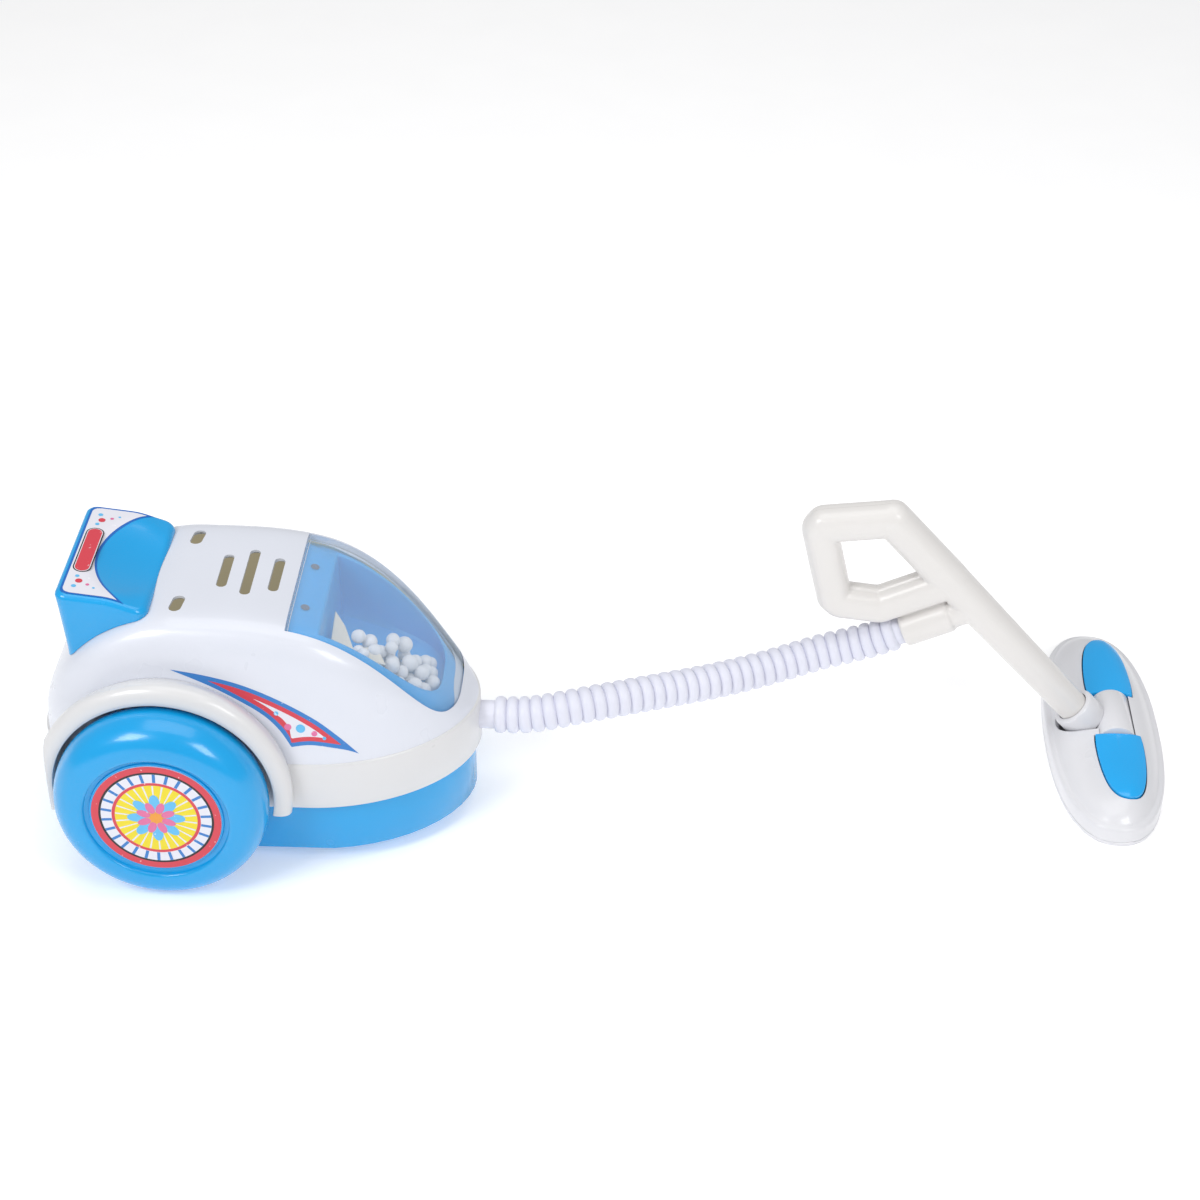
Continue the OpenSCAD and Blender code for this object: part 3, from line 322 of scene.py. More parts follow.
def clear(name, colour):
    """Clear moulded plastic: see-through face on, hazier at a glancing view."""
    n = Nodes(name)
    edge = n.add("ShaderNodeLayerWeight", Blend=0.35)
    n.feed(n.spread(edge.outputs["Facing"], 0.03, 0.45, 0, 1), "Alpha")
    n.feed(n.blend(n.spread(n.noise(60), 0, 1), colour, [min(c * 1.04, 1) for c in colour]), "Base Color")
    n.feed(n.spread(n.noise(90), 0.04, 0.1), "Roughness")
    return n.material


SHELL_WHITE = plastic("shell_white", (0.70, 0.725, 0.80), 0.3, coat=0.3)
# Inside faces of the shell: a dim khaki of painted shade, with a painted glow of light through the wall.
SHELL_INSIDE_PAINTED_SHADE = plastic("shell_inside_painted_shade", (0.38, 0.335, 0.225), 0.55, vary=0.25, glow=0.62)
SKIRT_WHITE = plastic("skirt_white", (0.69, 0.69, 0.70), 0.3, coat=0.3)
BLUE = plastic("toy_blue", (0.002, 0.345, 0.745), 0.24, vary=0.04, coat=0.3)
INSERT_BLUE = plastic("insert_blue", (0.003, 0.41, 0.9), 0.22, vary=0.04, coat=0.4)
SHADE = plastic("hole_shade", (0.10, 0.11, 0.16), 0.5)
# Darker blue of painted shade, for the groove round the grip sticker.
GROOVE_SHADE_BLUE = plastic("groove_painted_shade", (0.006, 0.13, 0.5), 0.3)
TRAY_BLUE = plastic("tray_blue", (0.02, 0.36, 0.80), 0.34)
HOSE_WHITE = plastic("hose_white", (0.73, 0.74, 0.84), 0.42)
WAND_IVORY = plastic("wand_ivory", (0.745, 0.725, 0.708), 0.34, coat=0.2)
NOZZLE_WHITE = plastic("nozzle_white", (0.735, 0.737, 0.77), 0.3, coat=0.2)
FOAM = plastic("foam_white", (0.84, 0.84, 0.88), 0.75, grain=0.25)
CHIP = plastic("foam_chip", (0.78, 0.73, 0.64), 0.7, grain=0.2)
CLEAR = clear("window_clear", (0.62, 0.75, 0.87))
STEEL = metal("plated_steel", (0.62, 0.62, 0.64), 0.32)
SLEEVE = plastic("cell_sleeve", (0.05, 0.07, 0.08), 0.35)
BLACK = plastic("switch_black", (0.02, 0.02, 0.022), 0.4)
INK_WHITE, INK_RED, INK_BLUE, INK_YELLOW, INK_BLACK, INK_ORANGE, INK_SKY, INK_PINK = (
    print_ink("ink_" + name, colour) for name, colour in (
        ("white", (0.74, 0.74, 0.81)), ("red", (0.64, 0.05, 0.075)), ("blue", (0.035, 0.20, 0.55)),
        ("yellow", (0.80, 0.66, 0.02)), ("black", (0.012, 0.01, 0.012)), ("orange", (0.80, 0.32, 0.04)),
        ("sky", (0.12, 0.48, 0.80)), ("pink", (0.70, 0.16, 0.34))))

# Camera
camera = add_object("camera", bpy.data.cameras.new("camera"))
camera.data.lens, camera.data.sensor_width = 75, 36
camera.data.clip_start, camera.data.clip_end = 0.01, 20
camera.location = (0.0255, -0.672, 0.5416)
camera.rotation_euler = (radians(55), 0, radians(2.7))
bpy.context.scene.camera = camera

# Hose: the CAD route, with round ribs between plain cuffs
HOSE_D, HOSE_ROOT_D, HOSE_BORE_D, CUFF_IN, CUFF_OUT, RIB_COUNT = 12.4, 9.5, 7, 6.2, 9.4, 35
HOSE_ROUTE = [(-46.7, -15, 33.5), (-40, -15, 33.5), (-33.5, -15, 33.5), (-27, -14.7, 34), (-20, -13.8, 35),
              (-12, -11.9, 35.8), (-2, -8.6, 36), (9, -4, 35.5), (20, 1, 34.6), (31, 6, 33.9), (42, 11, 33.7),
              (52, 15, 34.4), (61, 18.2, 35.7), (69, 20.2, 37.4), (77, 21.3, 39.3), (84.5, 21.5, 41.8),
              (90, 21.5, 44.2), (96, 21.5, 47), (102, 21.5, 49.7)]
HOSE_SIDES, RIB_RINGS = 40, 10


def hose():
    path = spline(HOSE_ROUTE)
    length = sum((b - a).length for a, b in zip(path, path[1:]))
    rib_l = (length - CUFF_IN - CUFF_OUT) / RIB_COUNT
    radii = [(s, HOSE_ROOT_D / 2) for s in (0, CUFF_IN / 3, 2 * CUFF_IN / 3)]
    for i in range(RIB_COUNT):
        for j in range(RIB_RINGS):
            t = j / RIB_RINGS
            swell = (1 - abs(2 * t - 1) ** 2.4) ** 0.6
            radii.append((CUFF_IN + (i + t) * rib_l, (HOSE_ROOT_D + (HOSE_D - HOSE_ROOT_D) * swell) / 2))
    radii += [(length - CUFF_OUT * k / 3, HOSE_ROOT_D / 2) for k in (3, 2, 1, 0)]
    bore = [(length * (1 - i / 60), HOSE_BORE_D / 2) for i in range(61)]
    rings = []
    for s, r in radii + bore:
        c = along(path, s)
        t = (along(path, min(s + 5, length)) - along(path, max(s - 5, 0))).normalized()
        side = Vector((0, 0, 1)).cross(t).normalized()
        up = t.cross(side)
        rings.append([c + r * (cos(a) * side + sin(a) * up) for a in turns(HOSE_SIDES)])
    obj = shade(make("hose_ribbed", *loft(rings), ROW, [HOSE_WHITE]), 60)
    Vector(HOSE_ROUTE[3]) * MM
    Vector(HOSE_ROUTE[14]) * MM
    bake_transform(obj)
    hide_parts("hose")


hose()


# Body shapes shared by shell, skirt, window and decals
def plan_half(x, d):
    if x > NOSE_START:
        u = clamp((x - NOSE_START) / (NOSE_L - d))
        return (BODY_W / 2 - d) * (1 - u ** NOSE_POWER) ** (1 / NOSE_POWER)
    u = clamp((REAR_START - x) / (REAR_R - d))
    return BODY_W / 2 - d - (REAR_R - d) * (1 - sqrt(1 - u * u))


def plan_outline(d, steps=40):
    xs = [REAR_START - (REAR_R - d) * cos(pi / 2 * i / steps) for i in range(steps + 1)]
    xs += [REAR_START + (NOSE_START - REAR_START) * i / 12 for i in range(1, 12)]
    xs += [NOSE_START + (NOSE_L - d) * sin(pi / 2 * i / steps) for i in range(steps + 1)]
    near = [(x, -plan_half(x, d)) for x in xs]
    back = [(xs[0], near[0][1] * (1 - 2 * k / 12)) for k in range(1, 12)]
    return near + [(x, -y) for x, y in reversed(near[:-1])] + back[::-1]


def shell_line(x, d):
    if x > CROWN_X:
        u = clamp((x - CROWN_X) / (BODY_FRONT - SHELL_LEDGE - d - CROWN_X))
        fall = (1 - u ** FRONT_POWER) ** FRONT_FALL
    else:
        u = clamp((CROWN_X - x) / (BODY_REAR - SHELL_LEDGE - d + CROWN_X))
        fall = (1 - u * u) ** REAR_FALL
    return SKIRT_TOP_Z + (SHELL_TOP_Z - SKIRT_TOP_Z - d) * fall


def shell_power(x):
    return CORNER_POWER - (CORNER_POWER - NOSE_CORNER_POWER) * ease((x - NOSE_START) / NOSE_L)


def shell_point(x, c, s, d):
    half = plan_half(x, SHELL_LEDGE + d)
    return Vector((x, half * (1 - SIDE_TAPER * s) * c, SKIRT_TOP_Z + (shell_line(x, d) - SKIRT_TOP_Z) * s))


def shell_z(x, y, d):
    """Height of the shell, drawn in by d, over a point in plan."""
    power, low, high = shell_power(x), 0.0, 1.0
    for _ in range(40):
        c = (low + high) / 2
        s = (1 - c ** power) ** (1 / power)
        low, high = (c, high) if shell_point(x, c, s, d).y < abs(y) else (low, c)
    return shell_point(x, low, (1 - low ** power) ** (1 / power), d).z


def on_shell(outline, d):
    """Points of an outline in plan, raised to the shell drawn in by d."""
    return [Vector((x, y, shell_z(x, y, d))) for x, y in outline]


def shell_side(x, z):
    """Half width of the shell at a height."""
    power = shell_power(x)
    s = clamp((z - SKIRT_TOP_Z) / (shell_line(x, 0) - SKIRT_TOP_Z))
    return shell_point(x, (1 - s ** power) ** (1 / power), s, 0).y


def shell_rings(d, stations=64, quarter=44):
    """Cross-sections from the rear to the nose, each from the left base over the top to the right base."""
    back, reach = BODY_REAR - SHELL_LEDGE - d + CROWN_X, BODY_FRONT - SHELL_LEDGE - d - CROWN_X
    xs = [CROWN_X - back * sin(pi / 2 * (1 - i / stations)) for i in range(stations)]
    xs += [CROWN_X + reach * sin(pi / 2 * i / stations) for i in range(stations + 1)]
    rings = []
    for x in xs:
        power = shell_power(x)
        corner = 0.5 ** (1 / power)
        half = []
        for j in range(quarter + 1):
            f = 2 * j / quarter
            small = corner * (1 - abs(1 - f) ** 1.5)
            large = (1 - small ** power) ** (1 / power)
            half.append((large, small) if f <= 1 else (small, large))
        half += [(-c, s) for c, s in reversed(half[:-1])]
        rings.append([shell_point(x, c, s, d) for c, s in half])
    return rings


def shell_block(name, d, base_z):
    """The shell's outer form, drawn in by d, as a solid down to base_z."""
    rings = [[(r[0].x, r[0].y, base_z), *r, (r[-1].x, r[-1].y, base_z)] for r in shell_rings(d)]
    return make(name, *loft(rings, False), CANISTER)


def window_half(x, d):
    return (WINDOW_W / 2 + d) * (1 - clamp((x - WINDOW_X) / (WINDOW_L + d)) ** WINDOW_POWER) ** (1 / WINDOW_POWER)


def window_outline(d, start=0.0, steps=36, across=16):
    """Outline in plan, grown by d, with its rear edge moved forward by start."""
    x0, x1 = WINDOW_X - d + start, WINDOW_X + WINDOW_L + d
    xs = [x0 + (x1 - x0) * sin(pi / 2 * i / steps) for i in range(steps + 1)]
    near = [(x, -window_half(x, d)) for x in xs]
    rear = [(x0, near[0][1] * (1 - 2 * k / across)) for k in range(1, across)]
    return near + [(x, -y) for x, y in reversed(near[:-1])] + rear[::-1]


# Upper shell: thin wall with its window, vents and catch holes cut out
LIP_T, VENT_W, VENTS = 0.7, 3.4, [(16.5, 9.2), (24.5, 12.7), (33, 9.3)]
CATCH_X, CATCH_Y, CATCH_R, CATCH_LEAN, CATCH_HALF = 4.3, 18.9, 2.0, 0.25, 2.1


def capsule(x0, y0, x1, y1, r, steps=16):
    """Outline of a slot between two points."""
    a0 = atan2(y1 - y0, x1 - x0)
    return [(x + r * cos(a), y + r * sin(a)) for x, y, start in ((x0, y0, a0 + pi / 2), (x1, y1, a0 - pi / 2))
            for a in (start + pi * i / steps for i in range(steps + 1))]


def upper_shell():
    outer, inner = shell_rings(0), shell_rings(SHELL_WALL)
    verts, faces = sheet(outer)
    n, start, last = len(outer[0]), len(verts), len(outer) - 1
    verts += [p for ring in inner for p in ring]
    faces_in = [tuple(start + i for i in f) for f in faces]
    edges = [(i * n + k, (i + 1) * n + k) for i in range(last) for k in (0, n - 1)]
    edges += [(i * n + k, i * n + k + 1) for k in range(n - 1) for i in (0, last)]
    sides = [(a, b, start + b, start + a) for a, b in edges]
    # Inner faces take the painted shade and glow; outer faces and cut edges take the shell white.
    marks = [0] * len(faces) + [1] * len(faces_in) + [0] * len(sides)
    obj = make("upper_shell_moulded", verts, faces + faces_in + sides, CANISTER,
               [SHELL_WHITE, SHELL_INSIDE_PAINTED_SHADE], marks)
    cutters = [prism("cut", window_outline(SEAT_GAP * 1.5), SKIRT_TOP_Z + SHELL_WALL, SHELL_TOP_Z + 5)]
    low = (SKIRT_TOP_Z + SHELL_TOP_Z) / 2
    slots = [((x, VENT_W / 2 - half, x, half - VENT_W / 2), VENT_W / 2, shell_line(x + 2, 0)) for x, half in VENTS]
    slots += [((CATCH_X - CATCH_LEAN, y - CATCH_HALF, CATCH_X + CATCH_LEAN, y + CATCH_HALF), CATCH_R,
               shell_z(CATCH_X, CATCH_Y + 4, 0)) for y in (-CATCH_Y, CATCH_Y)]
    for ends, r, top in slots:
        cutters.append(prism("cut", capsule(*ends, r + 1), low, top - LIP_T))
        cutters.append(prism("cut", capsule(*ends, r), low, SHELL_TOP_Z + 5))
    for cutter in cutters:
        combine(obj, cutter)
    place(shade(obj, 40), "canister", "shell_white", "upper_shell")


upper_shell()

# Skirt band with both wheel arches
FENDER_IN_R, FENDER_OUT, FENDER_RISE, FENDER_CREST, FENDER_ROOT = 35.3, 47.7, 5.7, 44, 30
FENDER_SWEEP, FENDER_REAR = radians(102), 37


def fender(side):
    edge = [(FENDER_IN_R, FENDER_ROOT), (FENDER_IN_R, FENDER_OUT - 0.4), (FENDER_IN_R + 0.15, FENDER_OUT - 0.1),
            (FENDER_IN_R + 0.5, FENDER_OUT)]
    rise, run = FENDER_RISE - 0.5, FENDER_OUT - FENDER_CREST
    edge += [(FENDER_IN_R + 0.5 + rise * sin(a), FENDER_CREST + run * cos(a))
             for a in (pi / 2 * i / 10 for i in range(1, 11))]
    edge += [(FENDER_IN_R + r, y) for r, y in ((5.5, 42.6), (5.15, 41.2), (4.6, 39.8), (3.7, 38.4), (2.6, 36.8),
                                               (1.7, 35), (1.3, 33), (1.2, FENDER_ROOT))]
    rings = [[(max(r * sin(a), -FENDER_REAR), side * y, AXLE_Z + r * cos(a)) for r, y in edge]
             for a in (FENDER_SWEEP * (2 * i / 96 - 1) for i in range(97))]
    return make("fender", *loft(rings, False), CANISTER)


def skirt():
    wall = [(0.5, SKIRT_Z), (0.15, SKIRT_Z + 0.15), (0, SKIRT_Z + 0.5), (0, SKIRT_TOP_Z - 1.1),
            (0.08, SKIRT_TOP_Z - 0.6), (0.3, SKIRT_TOP_Z - 0.22), (0.65, SKIRT_TOP_Z - 0.04),
            (1.0, SKIRT_TOP_Z), (SKIRT_WALL, SKIRT_TOP_Z), (SKIRT_WALL, SKIRT_Z)]
    rings = [[(x, y, z) for x, y in plan_outline(d)] for d, z in wall]
    obj = make("skirt_moulded", *loft(rings), CANISTER, [SKIRT_WHITE])
    for side in (-1, 1):
        arch = fender(side)
        combine(arch, prism("core", plan_outline(SKIRT_WALL / 2), 0, SKIRT_TOP_Z - 0.02))
        combine(arch, shell_block("core", -SEAT_GAP / 2, SKIRT_TOP_Z - 1))
        combine(obj, arch, "UNION")
    place(shade(paint(obj, SKIRT_WHITE), 40), "canister", "skirt_white", "skirt")


skirt()


# Clear window
def window():
    columns, rows = 60, 40
    xs = [WINDOW_X + WINDOW_L * sin(radians(88.5) * i / columns) for i in range(columns + 1)]
    rings = []
    for x in xs:
        line = [(x, window_half(x, 0) * sin(pi / 2 * (2 * k / rows - 1))) for k in range(rows + 1)]
        rings.append(on_shell(line, 0) + on_shell(line[::-1], SHELL_WALL))
    obj = bake(bevel(make("window_clear", *loft(rings, False), CANISTER, [CLEAR]), 0.35, 2, 50))
    place(shade(obj, 45), "canister", "window_clear", "window")


window()

# Bead tray: flange under the window, rear ledge with two discs of painted shade for its air holes, and the sloping
# pit
TRAY_REAR_Z, TRAY_FRONT_Z, TRAY_WALL = 60, 44, 1.3
FLANGE_D, FLANGE_OUT, FLANGE_IN, LEDGE = SHELL_WALL + SEAT_GAP, 3, 4.8, 4.7
PIT_SHORT, PIT_LIP = 1.2, 0.9


def tray_floor(x):
    return TRAY_REAR_Z - (TRAY_REAR_Z - TRAY_FRONT_Z) * (x - WINDOW_X) / WINDOW_L


def pit_outline(d):
    """Outline of the pit, drawn in by d: like the window's, but with the ledge left at its rear."""
    return [(x - PIT_SHORT * ease((x - WINDOW_X - 30) / 25), y)
            for x, y in window_outline(-FLANGE_IN - d, LEDGE)]


def bead_tray():
    def floor_ring(d, drop=0.0):
        return [(x, y, tray_floor(x) - drop) for x, y in pit_outline(d)]

    outer = []
    for (x0, y0), (x1, y1) in zip(window_outline(SEAT_GAP), window_outline(FLANGE_OUT)):
        t = 1 - ease((x0 - WINDOW_X - WINDOW_L * 0.45) / (WINDOW_L * 0.4))
        outer.append((x0 + (x1 - x0) * t, y0 + (y1 - y0) * t))
    rings = [floor_ring(-TRAY_WALL, TRAY_WALL), on_shell(pit_outline(-TRAY_WALL), FLANGE_D + TRAY_WALL),
             on_shell(outer, FLANGE_D + TRAY_WALL), on_shell(outer, FLANGE_D),
             on_shell(pit_outline(-PIT_LIP), FLANGE_D)]
    for a in (22, 45, 68, 90):
        d = PIT_LIP * (1 - sin(radians(a)))
        drop = PIT_LIP * (1 - cos(radians(a)))
        rings.append([p - Vector((0, 0, drop)) for p in on_shell(pit_outline(-d), FLANGE_D)])
    rim = rings[-1]
    for share in (0.6, 0.25, 0.06):
        rings.append([(p.x, p.y, tray_floor(p.x) + (p.z - tray_floor(p.x)) * share) for p in rim])
    rings += [floor_ring(0.8), floor_ring(6)]
    obj = make("bead_tray_moulded", *loft(rings, False), CANISTER, [TRAY_BLUE])
    place(shade(obj, 40), "canister", "toy_blue", "bead_tray")
    # Two thin dark discs of painted shade lie on the ledge where the air holes are; the ledge is not cut through.
    for i, y in enumerate((-11.5, 11.5)):
        x = WINDOW_X + 3.6
        c = Vector((x, y, shell_z(x, y, FLANGE_D)))
        hole = lathe(f"air_hole_shade_{i}", [(0.0, 0.03), (1.15, 0.03), (1.4, 0.1), (1.45, 0.02), (0.0, 0.015)],
                     CANISTER + c, tilt_to(shell_normal(x, y)), 40, [SHADE])
        place(shade(hole, 50), "canister", "toy_blue")


def shell_normal(x, y, h=0.4):
    dx = (shell_z(x + h, y, 0) - shell_z(x - h, y, 0)) / (2 * h)
    dy = (shell_z(x, y + h, 0) - shell_z(x, y - h, 0)) / (2 * h)
    return Vector((-dx, -dy, 1)).normalized()


def tilt_to(normal):
    """Rotation that takes +Z to the normal."""
    return Vector((0, 0, 1)).rotation_difference(normal).to_matrix()


bead_tray()

# Pale seat under the window, seen through it along its far side and front
SEAT_W, SEAT_MIN, SEAT_TOP, SEAT_T = 2.3, 0.15, SHELL_WALL + SEAT_GAP * 0.3, SEAT_GAP * 0.5


def window_seat():
    edge, inner = window_outline(SEAT_MIN / 2), []
    for (x0, y0), (x1, y1), (x2, y2) in zip(edge, window_outline(-SEAT_MIN), window_outline(-SEAT_W)):
        t = ease((y0 + 15) / 13) * ease((x0 - WINDOW_X - 2) / 10)
        inner.append((x1 + (x2 - x1) * t, y1 + (y2 - y1) * t))
    rings = [on_shell(outline, SEAT_TOP + drop)
             for outline, drop in ((edge, 0), (inner, 0), (inner, SEAT_T), (edge, SEAT_T))]
    seat = make("window_seat", *loft(rings), CANISTER, [SHELL_WHITE])
    place(shade(seat, 40), "canister", "shell_white")


window_seat()

# Foam beads: a seeded pile that settles against the near side and the front of the pit
BEAD_R, BEAD_COUNT, BEAD_TRIES, BEAD_NEAR = 2.6, 125, 40, -24
BEAD_FAR, CHIP_ROOM = [(51, -10), (58, -8), (66, -3), (76, 3), (88, 9)], (59, 1, 61)


def foam_beads():
    rng = random.Random(7)
    beads = []
    while len(beads) < BEAD_COUNT:
        best = None
        for _ in range(BEAD_TRIES):
            r = BEAD_R * rng.uniform(0.78, 1.05)
            x = rng.uniform(WINDOW_X + 11, WINDOW_X + WINDOW_L - 6)
            y = rng.uniform(BEAD_NEAR, table_at(BEAD_FAR, x))
            room = window_half(x + r + PIT_SHORT, -FLANGE_IN) - r
            if abs(y) > room:
                continue
            z = tray_floor(x) + r * 1.05
            for bx, by, bz, br in beads:
                gap = (r + br) ** 2 - (x - bx) ** 2 - (y - by) ** 2
                if gap > 0:
                    z = max(z, bz + sqrt(gap))
            if z + r > shell_z(x, y, FLANGE_D) - 0.4:
                continue
            if x < CHIP_ROOM[0] and y < CHIP_ROOM[1] and z > CHIP_ROOM[2]:
                continue
            if best is None or z + y * 0.1 < best[2] + best[1] * 0.1:
                best = (x, y, z, r)
        if best is None:
            break
        beads.append(best)
    bm = bmesh.new()
    for x, y, z, r in beads:
        squash = [rng.uniform(0.94, 1.05) for _ in range(3)]
        at = Matrix.Translation((CANISTER + Vector((x, y, z))) * MM) @ Matrix.Diagonal((*squash, 1))
        bmesh.ops.create_icosphere(bm, subdivisions=3, radius=r * MM, matrix=at)
    obj = add_object("foam_beads_loose", bpy.data.meshes.new("foam_beads_loose"))
    bm.to_mesh(obj.data)
    bm.free()
    place(shade(paint(obj, FOAM), 60), "canister", "bead_white", "foam_beads")


foam_beads()

# Two broken chips of foam that lie on the beads
CHIPS = [[(51, -1, 74), (54.5, -5, 71), (60.1, -14.6, 69), (54.4, -13.9, 69), (51, -12.7, 71)],
         [(59.7, -12.2, 68), (65.6, -10.7, 67), (69.5, -18, 66.5), (62, -16.9, 67)]]
CHIP_HALF_T = 0.4


def foam_chips():
    for i, corners in enumerate(CHIPS):
        corners = [Vector(c) for c in corners]
        normal = (corners[1] - corners[0]).cross(corners[-1] - corners[0]).normalized()
        centre = sum(corners, Vector()) / len(corners)
        flat = [c - normal * normal.dot(c - centre) for c in corners]
        rings = [[c + normal * h for c in flat] for h in (-CHIP_HALF_T, CHIP_HALF_T)]
        chip = make(f"foam_chip_{i}", *loft(rings, False), CANISTER, [CHIP])
        place(shade(bake(bevel(chip, 0.25, 2, 30)), 45), "canister", "bead_white")


foam_chips()

# Wheels: a round tread, a sloping face and a stepped recess for the printed disc
RECESS_R, RECESS_DEPTH, HUB_R, AXLE_R, DISH_T = 22.7, 1.6, 5, 2, 2.6
TREAD = [(0.9, 0), (0.945, 0.06), (0.975, 0.16), (0.995, 0.3), (1, 0.42), (0.994, 0.56), (0.974, 0.7),
         (0.94, 0.81), (0.895, 0.9), (0.84, 0.96), (0.78, 0.99), (0.72, 1), (0.695, 0.995)]


def wheel(side, hand):
    depth = WHEEL_FACE - WHEEL_IN
    tread = spline_2d([(WHEEL_R * r, WHEEL_IN + depth * h) for r, h in TREAD], 5)
    seat = WHEEL_FACE - RECESS_DEPTH
    profile = [(AXLE_R + 0.05, WHEEL_IN + 9), (AXLE_R + 0.05, WHEEL_IN), (HUB_R, WHEEL_IN), (HUB_R, seat - DISH_T),
               (RECESS_R, seat - DISH_T), (WHEEL_R * 0.9 - DISH_T, WHEEL_IN + DISH_T),
               (WHEEL_R * 0.9 - DISH_T, WHEEL_IN)]
    profile += tread + [(RECESS_R + 0.75, WHEEL_FACE - 0.25), (RECESS_R + 0.4, WHEEL_FACE - 0.6),
                        (RECESS_R + 0.25, seat), (LABEL_R + 1.5, seat - 0.5), (LABEL_R + 0.9, seat - 0.5),
                        (LABEL_R + 0.6, seat), (0.0, seat), (0.0, WHEEL_IN + 9)]
    turn = Matrix.Rotation(-side * pi / 2, 3, "X")
    obj = lathe(f"wheel_{hand}_moulded", profile, CANISTER + Vector((0, 0, AXLE_Z)), turn, 160, [BLUE])
    place(shade(obj, 42), "rear_wheels", "toy_blue", f"wheel_{hand}")


for side, hand in SIDES:
    wheel(side, hand)

# Printed wheel discs: rings, ticks and a sunburst with a plain rosette
TICKS, RAYS, PETAL_COUNT, DISC_STEPS, FILM_T, INK_LIFT = 26, 26, 8, 160, 0.3, 0.02
DISC_RINGS = [(0.888, 1, INK_RED), (0.852, 0.888, INK_BLACK), (0.685, 0.852, INK_WHITE), (0.635, 0.685, INK_RED)]
PETALS = [(INK_SKY, 0.3, 0.15, 0.0), (INK_PINK, 0.2, 0.115, 0.5)]


class Print:
    """Flat printed shapes on one plane, each with its ink, collected into one mesh."""

    def __init__(self):
        self.verts, self.faces, self.marks, self.inks = [], [], [], []

    def add(self, points, faces, ink):
        if ink not in self.inks:
            self.inks.append(ink)
        start = len(self.verts)
        self.verts += points
        self.faces += [tuple(start + i for i in f) for f in faces]
        self.marks += [self.inks.index(ink)] * len(faces)

    def fill(self, outline, ink):
        self.add(outline, [tuple(range(len(outline)))], ink)

    def ring(self, r0, r1, h, ink, steps):
        points = [(r * cos(a), r * sin(a), h) for a in turns(steps) for r in (r0, r1)]
        self.add(points, [(2 * i, 2 * i + 1, (2 * i + 3) % (2 * steps), (2 * i + 2) % (2 * steps))
                          for i in range(steps)], ink)

    def disc(self, r, h, ink, centre=(0, 0), steps=48, squash=1.0, turn=0.0):
        points = []
        for a in turns(steps):
            x, y = r * cos(a), r * squash * sin(a)
            points.append((centre[0] + x * cos(turn) - y * sin(turn),
                           centre[1] + x * sin(turn) + y * cos(turn), h))
        self.fill(points, ink)

    def spoke(self, a, r0, r1, w0, w1, h, ink):
        out, across = Vector((cos(a), sin(a), 0)), Vector((-sin(a), cos(a), 0))
        corners, up = ((r0, -w0), (r1, -w1), (r1, w1), (r0, w0)), Vector((0, 0, h))
        self.fill([out * r + across * w + up for r, w in corners], ink)

    def make(self, name, place_at=CANISTER):
        return make(name, self.verts, self.faces, place_at, self.inks, self.marks)


def wheel_disc(side, hand):
    r, n, film, lift = LABEL_R, DISC_STEPS, FILM_T, INK_LIFT
    art = Print()
    art.add([(x, y, h) for h in (0, film) for x, y in circle(0, 0, r, n)],
            [(i, (i + 1) % n, n + (i + 1) % n, n + i) for i in range(n)] + [tuple(range(n - 1, -1, -1))], INK_WHITE)
    for inner, outer, ink in DISC_RINGS:
        art.ring(r * inner, r * outer, film, ink, n)
    art.disc(r * DISC_RINGS[-1][0], film, INK_YELLOW, steps=n)
    for i in range(TICKS):
        art.spoke(tau * (i + 0.3) / TICKS, r * 0.69, r * 0.85, 0.5, 0.5, film + lift, INK_BLUE)
    for i in range(RAYS):
        art.spoke(tau * (i + 0.5) / RAYS, r * 0.12, r * 0.628, 0.06, 0.3, film + lift, INK_WHITE)
    for k, (ink, reach, size, phase) in enumerate(PETALS):
        for i in range(PETAL_COUNT):
            a = tau * (i + phase) / PETAL_COUNT
            c = (r * reach * cos(a), r * reach * sin(a))
            art.disc(r * size, film + lift * (2 + k) + 0.002 * i, ink, c, 28, 0.55, a)
    art.disc(r * 0.1, film + lift * 5, INK_ORANGE)
    turn = Matrix.Rotation(-side * pi / 2, 3, "X")
    at = CANISTER + Vector((0, side * (WHEEL_FACE - RECESS_DEPTH), AXLE_Z))
    art.verts = [turn @ Vector(p) for p in art.verts]
    place(art.make(f"wheel_disc_{hand}", at), "rear_wheels", "label_print", f"wheel_label_{hand}")


for side, hand in SIDES:
    wheel_disc(side, hand)

# Side decals: a curved flash of blue, red and white, laid on the shell
FLASH_TOP = [(3.5, 74.5), (14, 72.8), (25.3, 69.9), (36.5, 65.1), (47.9, 58.5), (55.5, 51.8), (61.9, 44.7)]
FLASH_LOW = [(3.5, 74.5), (15, 69.6), (25, 64.2), (32.4, 59.3), (37.3, 54.1), (40.8, 48.2), (47.6, 49.0),
             (57, 46.9), (61.9, 44.7)]
FLASH_FOOT, FLASH_STEPS, FLASH_ACROSS = 5, 150, 6
FLASH_INKS = [(INK_BLUE, 0.0, 0.05), (INK_RED, 1.45, 0.08), (INK_WHITE, 3.0, 0.11)]
FLASH_DOTS = [(36.5, 0.5, 0.75, INK_SKY), (40, 0.42, 1.15, INK_PINK), (44, 0.5, 1.5, INK_SKY),
              (48.3, 0.45, 0.95, INK_PINK), (51.4, 0.4, 0.6, INK_SKY)]


def flash_line(*parts):
    """A smooth line as a function of x, with a sharp corner where one part meets the next."""
    rows = [row for part in parts for row in spline_2d(part, 10)]
    return lambda x: table_at(rows, x)


